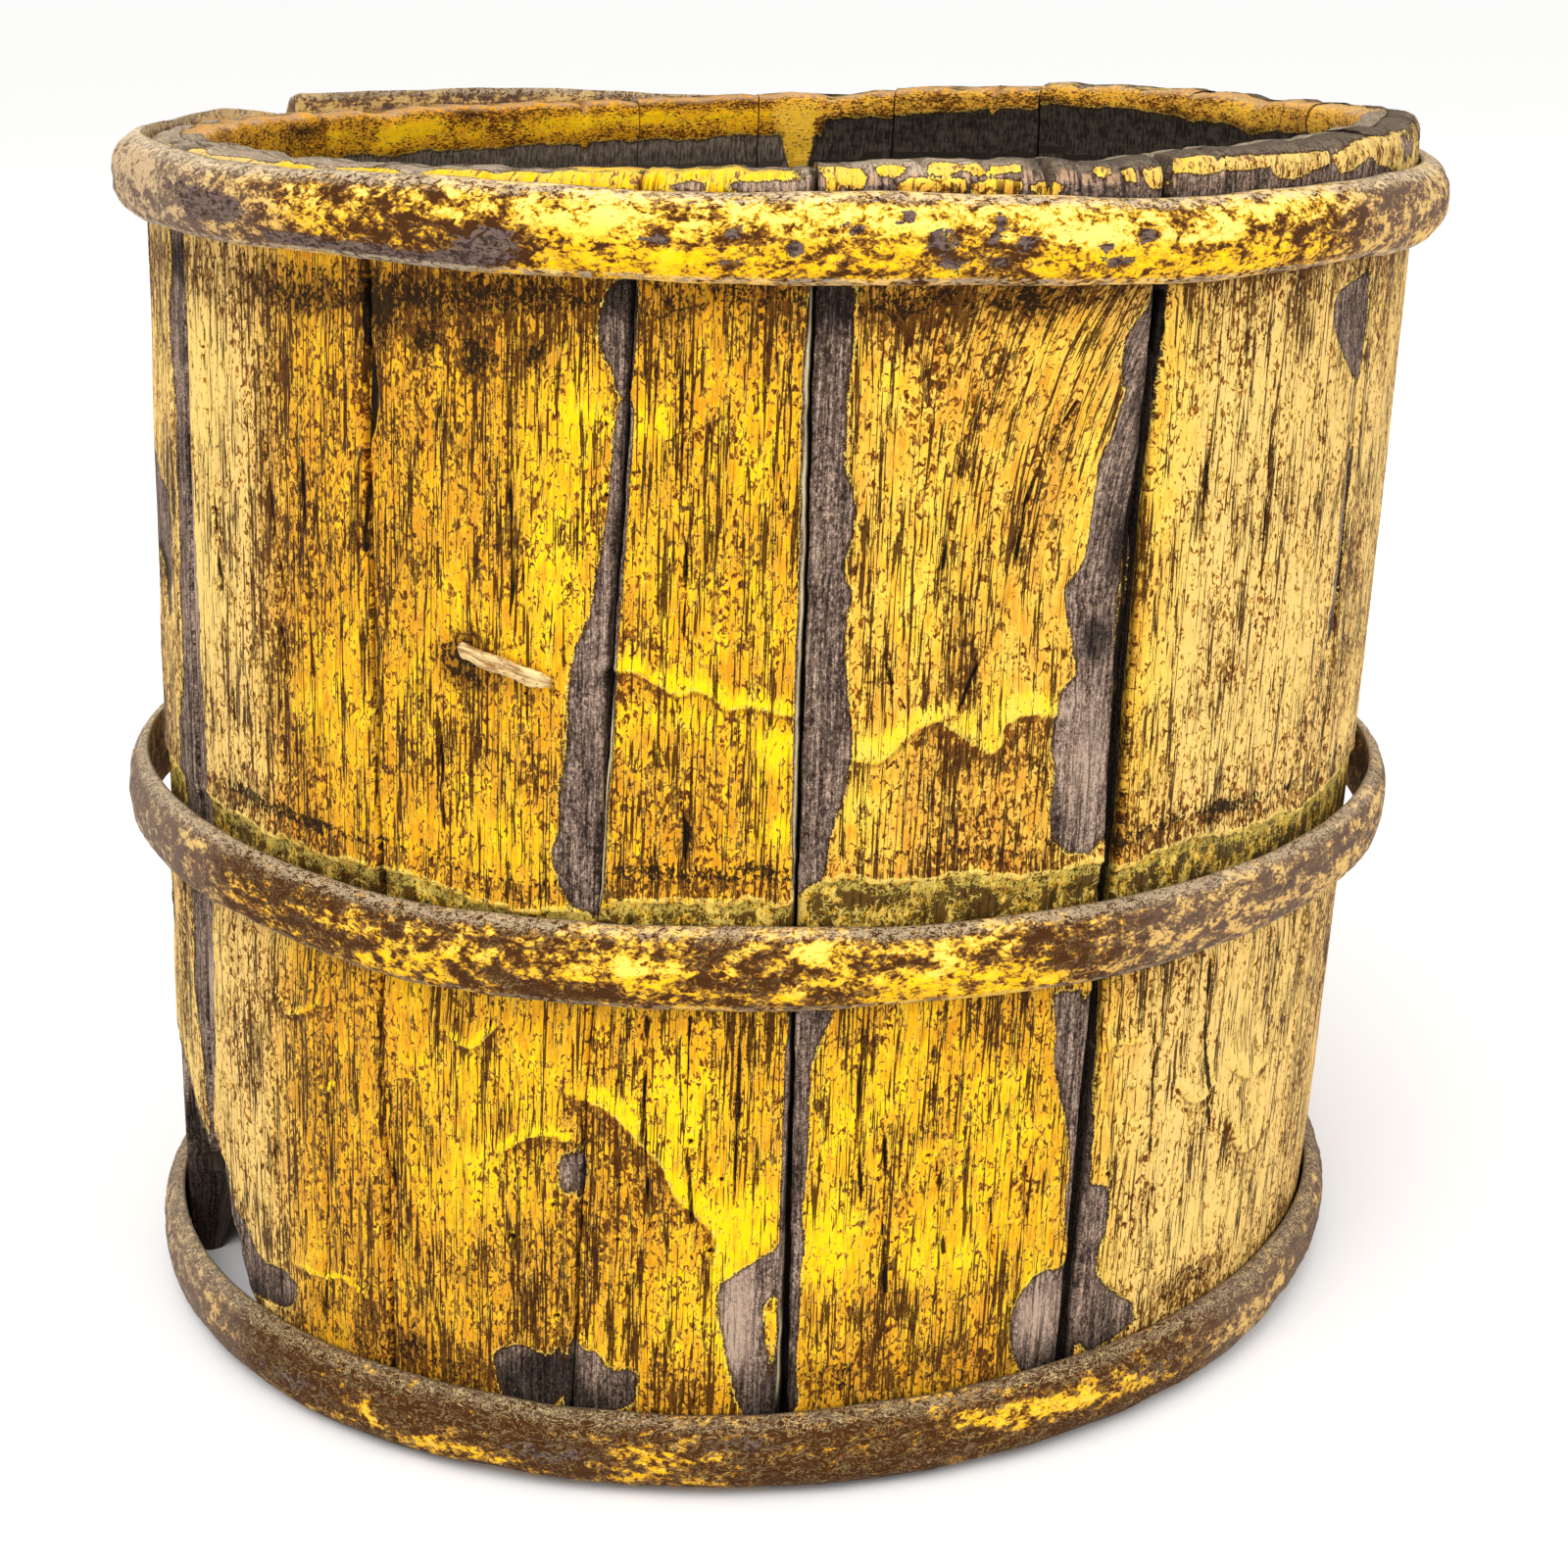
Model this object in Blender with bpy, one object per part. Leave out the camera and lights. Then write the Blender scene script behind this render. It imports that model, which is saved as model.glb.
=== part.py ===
"""A small coopered bucket: worn staves round a boarded bottom, held by three lapped wooden hoops."""
import math

import bmesh
import bpy
from mathutils import Matrix, Vector

# Sizes of the body in metres
BODY_RADIUS = 0.112
FOOT_RADIUS = 0.1104
RIM_RADIUS = 0.1118
BODY_HEIGHT = 0.2104
WALL = 0.0102
LEAN = 0.060
RIM_SLOPE = -0.0094
FIT_GAP = 0.0003
ARRIS = 0.0007

# The groove that holds the bottom, and the bevel inside the foot
GROOVE_LOW = 0.0165
GROOVE_HIGH = 0.0209
GROOVE_DEPTH = 0.0030
GROOVE_FLARE = 0.0005
CHIME_TOP = 0.0125
CHIME_CUT = 0.0042
FOOT_ROUND = 0.0006

# Rounding of the worn stave tops, and the two waves of wear along them
RIM_WAVES = (0.00018, 0.00012)
RIM_DROP = 0.0036
RIM_SHOULDER = 0.0013
RIM_OUTER_ROUND = 0.0024
RIM_INNER_ROUND = 0.0018

# Points along one stave's faces, and its plain rows as shares of the way from the groove to the rim
FACE_STEPS = 7
PLAIN_SHARES = (0.07, 0.18, 0.365, 0.55, 0.735, 0.925)

# Each seam: degrees at the foot, degrees at the rim, opening at the foot, opening at the rim
SEAMS = (
    (-16.0, -12.0, 0.0006, 0.0006),
    (2.5, 0.8, 0.0013, 0.0007),
    (28.0, 28.6, 0.0015, 0.0008),
    (59.4, 55.6, 0.0006, 0.0006),
    (80.5, 79.0, 0.0004, 0.0004),
    (102.0, 101.0, 0.0004, 0.0005),
    (124.0, 124.5, 0.0005, 0.0004),
    (146.0, 146.2, 0.0004, 0.0004),
    (165.0, 164.8, 0.0005, 0.0004),
    (181.0, 181.4, 0.0004, 0.0005),
    (196.5, 196.3, 0.0004, 0.0004),
    (220.0, 220.9, 0.0005, 0.0004),
    (240.5, 241.5, 0.0004, 0.0004),
    (262.0, 261.0, 0.0005, 0.0004),
    (281.5, 282.5, 0.0004, 0.0004),
    (298.8, 299.4, 0.0006, 0.0007),
    (326.8, 325.4, 0.0004, 0.0005),
)

# Each stave: name, rise of its top over the rim plane, slope of its top, set-back of its face
STAVES = (
    ("front_narrow_stave", 0.0002, 0.0001, 0.0001),
    ("front_right_stave", 0.0007, -0.0006, 0.0003),
    ("right_front_stave", 0.0008, 0.0002, 0.0000),
    ("right_near_stave", 0.0015, 0.0002, 0.0003),
    ("right_middle_stave", 0.0008, -0.0003, 0.0001),
    ("right_far_stave", 0.0006, 0.0002, 0.0004),
    ("right_rear_stave", 0.0012, 0.0002, 0.0000),
    ("rear_right_stave", 0.0004, -0.0003, 0.0003),
    ("rear_middle_right_stave", -0.0008, -0.0003, 0.0001),
    ("rear_middle_left_stave", -0.0014, -0.0002, 0.0002),
    ("rear_left_stave", -0.0016, 0.0002, 0.0000),
    ("left_rear_stave", -0.0010, 0.0002, 0.0003),
    ("left_far_stave", -0.0004, 0.0003, 0.0001),
    ("left_middle_stave", 0.0000, 0.0002, 0.0003),
    ("left_broken_stave", 0.0002, -0.0002, 0.0000),
    ("left_front_stave", 0.0002, -0.0004, 0.0002),
    ("front_left_stave", 0.0000, 0.0001, 0.0000),
)

# The broken foot: share of the width, height outside; the break slants lower towards the inside,
# and the whole wall starts at BREAK_END
BREAK_LINE = ((0.0, 0.052), (0.2, 0.0505), (0.38, 0.0478), (0.6, 0.0462), (0.8, 0.0405), (1.0, 0.0370))
BREAK_SLANT = 0.0125
BREAK_END = 0.070

# The worn left edge of the stave beside the break: height, degrees lost outside, degrees lost inside
EDGE_WEAR = ((0.0, 9.6, 7.2), (0.0125, 8.6, 6.4), (0.0165, 6.6, 4.4), (0.0209, 5.2, 3.0),
             (0.034, 2.6, 0.8), (0.042, 0.0, 0.0))

# Each hoop: name, height of its centre, height, thickness, slope, slack at the sides,
# degrees where its blunt outer end lies, its waves as pairs of degrees and metres,
# and how its two ends rise or sink, as pairs of degrees along the hoop and metres
TOP_HOOP_DROP = 0.0093
HOOP_POINTS = 5
HOOP_STATIONS = 84
LAP = 28.0
LAP_RAMP = 9.0
UNDER_SHARE = 0.42
TIP_SHARE = 0.24
LAP_THINNING = 0.82
HOOP_ROUND = 2.3
TAIL_FLAT = 7.0
TAIL_HEIGHT = 0.92
TAIL_TIP_HEIGHT = 0.7
END_HEIGHT = 0.86
END_THICKNESS = 0.8
HOOPS = (
    ("top_hoop", BODY_HEIGHT - TOP_HOOP_DROP, 0.0126, 0.0051, -0.038, 0.0, -122.5,
     ((-110.0, 0.0007), (-62.0, 0.0006), (-52.0, 0.0001), (-38.0, 0.0008), (-10.0, 0.0006), (8.0, 0.0006),
      (28.0, -0.0007), (50.0, 0.0003), (70.0, 0.0003), (180.0, 0.0)),
     ((0.0, 0.0026), (20.0, 0.0026), (38.0, 0.0021), (50.0, 0.0016), (90.0, 0.0), (325.0, 0.0), (346.0, 0.0009),
      (360.0, -0.0012), (388.0, -0.0020))),
    ("middle_hoop", 0.0920, 0.0132, 0.0034, -0.0366, 0.0027, 175.0,
     ((-100.0, 0.0002), (-64.0, 0.0009), (-30.0, -0.0009), (0.0, 0.0), (30.0, 0.0004), (62.0, 0.0015),
      (95.0, 0.0008), (180.0, 0.0)),
     ((0.0, 0.0006), (40.0, 0.0), (340.0, 0.0), (388.0, -0.0006))),
    ("bottom_hoop", 0.0078, 0.0132, 0.0040, 0.0, 0.0, 215.0,
     ((-60.0, -0.0002), (0.0, 0.0), (60.0, 0.0003), (180.0, 0.0)),
     ((0.0, 0.0), (388.0, 0.0))),
)

# Tacks that fix each lap, at these shares of the lap
TACK_SHARES = (0.22, 0.72)
TACK_SHANK = 0.0007
TACK_HEAD = 0.0021
TACK_HEAD_HEIGHT = 0.0008
TACK_LENGTH = 0.0095
TACK_POINT = 0.0012
TACKED_STAVES = ("rear_right_stave", "rear_middle_right_stave", "rear_middle_left_stave",
                 "rear_left_stave", "left_rear_stave")
PIN_SIDES = 10

# The bottom: boards with edge joints, bevelled to a tongue that sits in the groove
BOARD_LOW = 0.0150
BOARD_HIGH = 0.0222
BOARD_TURN = 20.0
BOARD_SPLITS = (-0.031, 0.036)
BOARD_NAMES = ("bottom_board_left", "bottom_board_middle", "bottom_board_right")
TONGUE_SETBACK = 0.0010
BEVEL_RUN = 0.0016
BOARD_STEPS = 14
DOWEL_RADIUS = 0.0020
DOWEL_LENGTH = 0.0240
DOWEL_OFFSET = 0.047

# The splinter stuck on the face: degrees and height of its two ends, height and thickness,
# its girth as pairs of share of the length and size, and its section with a groove along it
SPLINTER_ENDS = ((-25.9, 0.1412), (-17.9, 0.1368))
SPLINTER_HEIGHT = 0.0026
SPLINTER_THICKNESS = 0.0013
SPLINTER_GIRTH = ((0.0, 0.45), (0.03, 0.7), (0.12, 0.95), (0.3, 1.0), (0.5, 0.92), (0.7, 0.96),
                  (0.88, 0.85), (0.97, 0.6), (1.0, 0.4))
SPLINTER_SECTION = ((-0.5, 0.0), (0.5, 0.0), (0.52, 0.45), (0.4, 0.9), (0.15, 1.0), (0.02, 0.72),
                    (-0.12, 0.95), (-0.38, 0.85), (-0.5, 0.4))


def outer_radius(height):
    """Outside of the body at a height: a slight belly between foot and rim."""
    share = height / BODY_HEIGHT
    low = FOOT_RADIUS * (1.0 - share) * (1.0 - 2.0 * share)
    middle = BODY_RADIUS * 4.0 * share * (1.0 - share)
    high = RIM_RADIUS * share * (2.0 * share - 1.0)
    return low + middle + high


def place(degrees, radius, height):
    """A point of the leaning body from its angle off the front, radius and height."""
    turn = math.radians(degrees)
    return Vector((radius * math.sin(turn) + LEAN * height, -radius * math.cos(turn), height))


def mix(low, high, share):
    return low + (high - low) * share


def along(pairs, value, column):
    """Value of one column of a table, straight between its rows."""
    if value <= pairs[0][0]:
        return pairs[0][column]
    for low, high in zip(pairs, pairs[1:]):
        if value <= high[0]:
            return mix(low[column], high[column], (value - low[0]) / (high[0] - low[0]))
    return pairs[-1][column]


def loft(name, rows, material):
    """A closed solid through rows of points, each end capped by one face."""
    mesh = bmesh.new()
    rings = [[mesh.verts.new(point) for point in row] for row in rows]
    count = len(rows[0])
    for low, high in zip(rings, rings[1:]):
        for step in range(count):
            after = (step + 1) % count
            mesh.faces.new((low[step], low[after], high[after], high[step]))
    mesh.faces.new(list(reversed(rings[0])))
    mesh.faces.new(rings[-1])
    return finish(name, mesh, material)


def to_data(name, mesh, material):
    bmesh.ops.recalc_face_normals(mesh, faces=mesh.faces)
    data = bpy.data.meshes.new(name)
    mesh.to_mesh(data)
    mesh.free()
    data.materials.append(material)
    data.shade_smooth()
    data.set_sharp_from_angle(angle=math.radians(32.0))
    return data


def finish(name, mesh, material):
    part = bpy.data.objects.new(name, to_data(name, mesh, material))
    bpy.context.scene.collection.objects.link(part)
    return part


def make_material(name, colour, roughness):
    material = bpy.data.materials.new(name)
    material.use_nodes = True
    shader = material.node_tree.nodes["Principled BSDF"]
    shader.inputs["Base Color"].default_value = (*colour, 1.0)
    shader.inputs["Roughness"].default_value = roughness
    return material


def stave_side(index, height, side, wall_share):
    """Degrees of a stave's side face; wall_share runs from 0 outside to 1 inside."""
    seam = SEAMS[(index + side) % len(SEAMS)]
    share = height / BODY_HEIGHT
    degrees = mix(seam[0], seam[1], share)
    if side == 1 and index == len(STAVES) - 1:
        degrees += 360.0
    opening = mix(seam[2], seam[3], share) - FIT_GAP
    opening = FIT_GAP + opening * (1.0 - 0.75 * wall_share)
    away = math.degrees(0.5 * opening / BODY_RADIUS)
    degrees += away if side == 0 else -away
    if side == 0 and STAVES[index][0] == "left_front_stave":
        lost = mix(along(EDGE_WEAR, height, 1), along(EDGE_WEAR, height, 2), wall_share)
        degrees += lost
    return degrees


def rim_height(index, degrees, share):
    stave = STAVES[index]
    across = BODY_RADIUS * math.sin(math.radians(degrees))
    wave = RIM_WAVES[0] * math.sin(degrees * 0.71 + index)
    wave += RIM_WAVES[1] * math.sin(degrees * 1.9 + 2.0 * index)
    return BODY_HEIGHT + RIM_SLOPE * across + stave[1] + stave[2] * (share - 0.5) * 2.0 + wave


def stave_rows():
    """Rows of a whole stave: height or drop from the top, outer round, inner cut."""
    rows = [("up", 0.0, FOOT_ROUND, CHIME_CUT)]
    rows.append(("up", 2.0 * FOOT_ROUND, 0.0, CHIME_CUT * 0.9))
    rows.append(("up", CHIME_TOP, 0.0, 0.0))
    rows.append(("up", GROOVE_LOW, 0.0, 0.0))
    rows.append(("up", GROOVE_LOW + GROOVE_FLARE, 0.0, GROOVE_DEPTH))
    rows.append(("up", GROOVE_HIGH - GROOVE_FLARE, 0.0, GROOVE_DEPTH))
    rows.append(("up", GROOVE_HIGH, 0.0, 0.0))
    rows.extend(plain_rows())
    rows.extend(rim_rows())
    return rows


def plain_rows():
    top = BODY_HEIGHT - RIM_DROP
    return [("up", mix(GROOVE_HIGH, top, share), 0.0, 0.0) for share in PLAIN_SHARES]


def rim_rows():
    rows = [("down", RIM_DROP, 0.0, 0.0)]
    rows.append(("down", RIM_SHOULDER, RIM_OUTER_ROUND * 0.3, RIM_INNER_ROUND * 0.28))
    rows.append(("down", RIM_SHOULDER * 0.35, RIM_OUTER_ROUND * 0.62, RIM_INNER_ROUND * 0.6))
    rows.append(("down", 0.0, RIM_OUTER_ROUND, RIM_INNER_ROUND))
    return rows


def stave_row(index, kind, level, outer_round, inner_cut):
    """Points round one level of a stave, outside left to right, then inside right to left."""
    setback = STAVES[index][3]
    rim_left = stave_side(index, BODY_HEIGHT, 0, 0.0)
    rim_right = stave_side(index, BODY_HEIGHT, 1, 0.0)
    corner = ARRIS / BODY_RADIUS / math.radians(rim_right - rim_left)
    points = []
    for inside in (False, True):
        for step in range(FACE_STEPS):
            near = FACE_STEPS - 1 - step if inside else step
            share = mix(corner, 1.0 - corner, (near - 1) / (FACE_STEPS - 3))
            share = max(0.0, min(1.0, share))
            height = level
            if kind == "down":
                height = rim_height(index, mix(rim_left, rim_right, share), share) - level
            if kind == "break":
                height = along(BREAK_LINE, share, 1) - (BREAK_SLANT if inside else 0.0)
            left = stave_side(index, height, 0, float(inside))
            right = stave_side(index, height, 1, float(inside))
            radius = outer_radius(height) - setback
            if inside:
                radius += inner_cut - WALL
            else:
                worn = ARRIS * 0.8 if near in (0, FACE_STEPS - 1) else 0.0
                radius -= outer_round + worn
            points.append(place(mix(left, right, share), radius, height))
    return points


def make_stave(index, material):
    name = STAVES[index][0]
    if name == "left_broken_stave":
        rows = [("break", 0.0, 0.0, 0.0)]
        rows.extend(row for row in plain_rows() if row[1] > BREAK_END)
        rows.extend(rim_rows())
    else:
        rows = stave_rows()
    points = [stave_row(index, *row) for row in rows]
    return loft(name, points, material)


def hoop_shape(hoop, run):
    """Stand-off, thickness, flatness and height share of a hoop at degrees from its outer end."""
    thickness = hoop[3]
    if run <= LAP + LAP_RAMP:
        standing = max(0.0, min(1.0, 1.0 - (run - LAP) / LAP_RAMP))
        under = thickness * mix(UNDER_SHARE, TIP_SHARE, min(1.0, run / LAP))
        ease = standing * standing * (3.0 - 2.0 * standing)
        thick = thickness * mix(1.0, LAP_THINNING, ease)
        height_share = END_HEIGHT if run <= 0.0 else 1.0
        thick *= END_THICKNESS if run <= 0.0 else 1.0
        return ease * (under + FIT_GAP), thick, HOOP_ROUND, height_share
    if run < 360.0 - LAP_RAMP:
        return 0.0, thickness, HOOP_ROUND, 1.0
    if run < 360.0:
        share = (run - 360.0 + LAP_RAMP) / LAP_RAMP
        ease = share * share * (3.0 - 2.0 * share)
        power = mix(HOOP_ROUND, TAIL_FLAT, ease)
        return 0.0, thickness * mix(1.0, UNDER_SHARE, ease), power, mix(1.0, TAIL_HEIGHT, ease)
    share = (run - 360.0) / LAP
    thick = thickness * mix(UNDER_SHARE, TIP_SHARE, share)
    return 0.0, thick, TAIL_FLAT, mix(TAIL_HEIGHT, TAIL_TIP_HEIGHT, share)


def hoop_radius(hoop, degrees):
    """Extra radius of a slack hoop, tight at the front and the back."""
    return hoop[5] * math.sin(math.radians(degrees)) ** 2


def hoop_centre(hoop, run):
    """Height of the middle of a hoop at degrees from its outer end."""
    degrees = hoop[6] - run
    turn = (degrees + 180.0) % 360.0 - 180.0
    waves = hoop[7]
    low = (waves[-1][0] - 360.0, waves[-1][1])
    wave = along((low,) + waves, turn, 1) + along(hoop[8], run, 1)
    return hoop[1] + hoop[4] * BODY_RADIUS * math.sin(math.radians(degrees)) + wave


def hoop_stations():
    lap_ends = [0.0, 0.8, 4.0, 8.0, 12.0, 16.0, 20.0, 24.0, LAP]
    ramp = [LAP + LAP_RAMP * share for share in (0.33, 0.66, 1.0)]
    plain_start = LAP + LAP_RAMP
    plain_end = 360.0 - LAP_RAMP
    count = int(HOOP_STATIONS * (plain_end - plain_start) / 360.0)
    plain = [mix(plain_start, plain_end, step / count) for step in range(1, count + 1)]
    tuck = [360.0 - LAP_RAMP * share for share in (0.66, 0.33, 0.04)]
    tail = [360.0 + LAP * share for share in (0.14, 0.28, 0.43, 0.57, 0.71, 0.86, 0.985)]
    return lap_ends + ramp + plain + tuck + tail


def make_hoop(hoop, material):
    rows = []
    for run in hoop_stations():
        degrees = hoop[6] - run
        stand, thick, power, height_share = hoop_shape(hoop, run)
        centre = hoop_centre(hoop, run)
        half = 0.5 * hoop[2] * height_share
        extra = FIT_GAP + stand + hoop_radius(hoop, degrees)
        row = []
        for step in range(3):
            height = centre + half * (step - 1)
            row.append(place(degrees, outer_radius(height) + extra, height))
        for step in range(HOOP_POINTS + 2):
            angle = math.pi * (step + 0.35) / (HOOP_POINTS + 1.7)
            across = math.cos(angle)
            bulge = (1.0 - abs(across) ** power) ** (1.0 / power)
            height = centre + half * across
            row.append(place(degrees, outer_radius(height) + extra + thick * bulge, height))
        rows.append(row)
    return loft(hoop[0], rows, material)


def tack_places():
    """Angle, height and radius of the hoop's outside for each tack."""
    for hoop in HOOPS:
        for share in TACK_SHARES:
            run = LAP * share
            degrees = hoop[6] - run
            stand, thick, power, height_share = hoop_shape(hoop, run)
            height = hoop_centre(hoop, run)
            radius = outer_radius(height) + FIT_GAP + stand + hoop_radius(hoop, degrees) + thick
            yield degrees, height, radius


def round_rings(mesh, profile, sides, matrix):
    """Adds a turned body from pairs of depth along its axis and radius."""
    rings = []
    for depth, size in profile:
        ring = []
        for step in range(sides):
            angle = math.tau * step / sides
            point = Vector((math.cos(angle) * size, -depth, math.sin(angle) * size))
            ring.append(mesh.verts.new(matrix @ point))
        rings.append(ring)
    for low, high in zip(rings, rings[1:]):
        for step in range(sides):
            after = (step + 1) % sides
            mesh.faces.new((low[step], low[after], high[after], high[step]))
    mesh.faces.new(list(reversed(rings[0])))
    mesh.faces.new(rings[-1])


def turned_mesh(name, profile, sides, material):
    mesh = bmesh.new()
    round_rings(mesh, profile, sides, Matrix.Identity(4))
    return to_data(name, mesh, material)


def stand(name, data, matrix):
    """One copy of a shared mesh, standing where its matrix puts it."""
    part = bpy.data.objects.new(name, data)
    bpy.context.scene.collection.objects.link(part)
    part.matrix_local = matrix
    return part


def make_cutter(name, profile, sides, matrices, material):
    mesh = bmesh.new()
    for matrix in matrices:
        round_rings(mesh, profile, sides, matrix)
    part = finish(name, mesh, material)
    part.hide_render = True
    part.display_type = "WIRE"
    return part


def tack_matrices():
    """Where each tack stands: on its hoop, its axis along the radius."""
    for degrees, height, radius in tack_places():
        turn = Matrix.Rotation(math.radians(degrees), 4, "Z")
        yield Matrix.Translation(place(degrees, radius, height)) @ turn


def dowel_matrices():
    """Where each dowel lies: across its joint, half in each board."""
    level = 0.5 * (BOARD_LOW + BOARD_HIGH)
    turn = Matrix.Rotation(math.radians(BOARD_TURN + 90.0), 4, "Z")
    for split in BOARD_SPLITS:
        for offset in (-DOWEL_OFFSET, DOWEL_OFFSET):
            yield Matrix.Translation(turned(split, offset, level)) @ turn


def cut(part, cutter):
    modifier = part.modifiers.new("cut", "BOOLEAN")
    modifier.operation = "DIFFERENCE"
    modifier.solver = "EXACT"
    modifier.object = cutter


def board_outline(radius, low, high):
    """Outline of the part of a disc between two lines, counterclockwise from the low line."""
    start = max(low, -radius)
    end = min(high, radius)
    points = []
    for step in range(BOARD_STEPS):
        share = 0.5 - 0.5 * math.cos(math.pi * step / (BOARD_STEPS - 1))
        across = mix(start, end, share)
        points.append((across, -math.sqrt(max(0.0, radius * radius - across * across))))
    upper = [(across, -along_disc) for across, along_disc in reversed(points)]
    if high >= radius:
        upper = upper[1:]
    if low <= -radius:
        upper = upper[:-1]
    return points + upper


def make_board(index, material):
    wide = BODY_RADIUS
    lows = (-wide,) + tuple(split + 0.5 * FIT_GAP for split in BOARD_SPLITS)
    highs = tuple(split - 0.5 * FIT_GAP for split in BOARD_SPLITS) + (wide,)
    inside = outer_radius(GROOVE_LOW) - WALL - max(stave[3] for stave in STAVES)
    tongue = inside + GROOVE_DEPTH - TONGUE_SETBACK
    shoulder = inside - TONGUE_SETBACK
    face = shoulder - BEVEL_RUN
    levels = (
        (face, BOARD_LOW),
        (shoulder, GROOVE_LOW + FIT_GAP),
        (tongue, GROOVE_LOW + GROOVE_FLARE + FIT_GAP),
        (tongue, GROOVE_HIGH - GROOVE_FLARE - FIT_GAP),
        (shoulder, GROOVE_HIGH - FIT_GAP),
        (face, BOARD_HIGH),
    )
    rows = []
    for radius, height in levels:
        row = []
        for across, length in board_outline(radius, lows[index], highs[index]):
            row.append(turned(across, length, height))
        rows.append(row)
    return loft(BOARD_NAMES[index], rows, material)


def turned(across, length, height):
    """A point of the bottom from its place across and along the boards."""
    turn = math.radians(BOARD_TURN)
    side = across * math.cos(turn) - length * math.sin(turn)
    back = across * math.sin(turn) + length * math.cos(turn)
    return Vector((side + LEAN * height, back, height))


def make_splinter(material):
    """A flat splinter with a groove along it and ragged, thinner ends."""
    rows = []
    (left, left_height), (right, right_height) = SPLINTER_ENDS
    for share, size in SPLINTER_GIRTH:
        degrees = mix(left, right, share)
        centre = mix(left_height, right_height, share)
        row = []
        for up, out in SPLINTER_SECTION:
            height = centre + up * SPLINTER_HEIGHT * size
            lift = FIT_GAP + out * SPLINTER_THICKNESS * size
            row.append(place(degrees, outer_radius(height) + lift, height))
        rows.append(row)
    return loft("face_splinter", rows, material)


def centre_on_origin(parts, cutters):
    """Hangs everything on an empty that brings the middle of the whole over the origin."""
    corners = [part.matrix_local @ vertex.co for part in parts for vertex in part.data.vertices]
    middle_x = 0.5 * (min(point.x for point in corners) + max(point.x for point in corners))
    middle_y = 0.5 * (min(point.y for point in corners) + max(point.y for point in corners))
    base = bpy.data.objects.new("bucket", None)
    base.empty_display_size = BODY_RADIUS
    bpy.context.scene.collection.objects.link(base)
    base.location = (-middle_x, -middle_y, 0.0)
    for part in parts + cutters:
        part.parent = base


def build():
    for part in list(bpy.data.objects):
        bpy.data.objects.remove(part, do_unlink=True)
    paint = make_material("painted_wood", (0.78, 0.44, 0.03), 0.6)
    bark = make_material("hoop_wood", (0.52, 0.30, 0.04), 0.65)
    bare = make_material("bare_wood", (0.20, 0.15, 0.12), 0.8)
    pale = make_material("pale_wood", (0.62, 0.42, 0.16), 0.7)
    iron = make_material("rusty_iron", (0.09, 0.05, 0.035), 0.75)

    staves = [make_stave(index, paint) for index in range(len(STAVES))]
    hoops = [make_hoop(hoop, bark) for hoop in HOOPS]
    boards = [make_board(index, bare) for index in range(len(BOARD_NAMES))]
    splinter = make_splinter(pale)

    tip = FIT_GAP - TACK_LENGTH
    rise = FIT_GAP + TACK_HEAD_HEIGHT
    tack_profile = ((tip, TACK_SHANK * 0.3), (tip + TACK_POINT, TACK_SHANK), (FIT_GAP, TACK_SHANK),
                    (FIT_GAP, TACK_HEAD), (mix(FIT_GAP, rise, 0.6), TACK_HEAD * 0.85),
                    (rise, TACK_HEAD * 0.4))
    tack_mesh = turned_mesh("hoop_tack", tack_profile, PIN_SIDES, iron)
    tacks = []
    for index, matrix in enumerate(tack_matrices()):
        tacks.append(stand(f"hoop_tack_{index + 1}", tack_mesh, matrix))

    half = 0.5 * DOWEL_LENGTH
    dowel_profile = ((-half, DOWEL_RADIUS * 0.8), (-half + DOWEL_RADIUS * 0.3, DOWEL_RADIUS),
                     (half - DOWEL_RADIUS * 0.3, DOWEL_RADIUS), (half, DOWEL_RADIUS * 0.8))
    dowel_mesh = turned_mesh("bottom_dowel", dowel_profile, PIN_SIDES, bare)
    dowels = []
    for index, matrix in enumerate(dowel_matrices()):
        dowels.append(stand(f"bottom_dowel_{index + 1}", dowel_mesh, matrix))

    bore = TACK_SHANK + FIT_GAP
    hole_profile = ((tip - FIT_GAP, bore), (rise + TACK_HEAD, bore))
    tack_holes = make_cutter("tack_holes", hole_profile, PIN_SIDES, tack_matrices(), iron)
    socket = DOWEL_RADIUS + FIT_GAP
    reach = half + FIT_GAP
    socket_profile = ((-reach, socket), (reach, socket))
    dowel_holes = make_cutter("dowel_holes", socket_profile, PIN_SIDES, dowel_matrices(), bare)
    for hoop in hoops:
        cut(hoop, tack_holes)
    for stave in staves:
        if stave.name in TACKED_STAVES:
            cut(stave, tack_holes)
    for board in boards:
        cut(board, dowel_holes)

    parts = staves + hoops + boards + dowels + tacks + [splinter]
    centre_on_origin(parts, [tack_holes, dowel_holes])


build()
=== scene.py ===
import math
from typing import NamedTuple

import bpy
import numpy as np
from mathutils import Matrix, Vector


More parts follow.
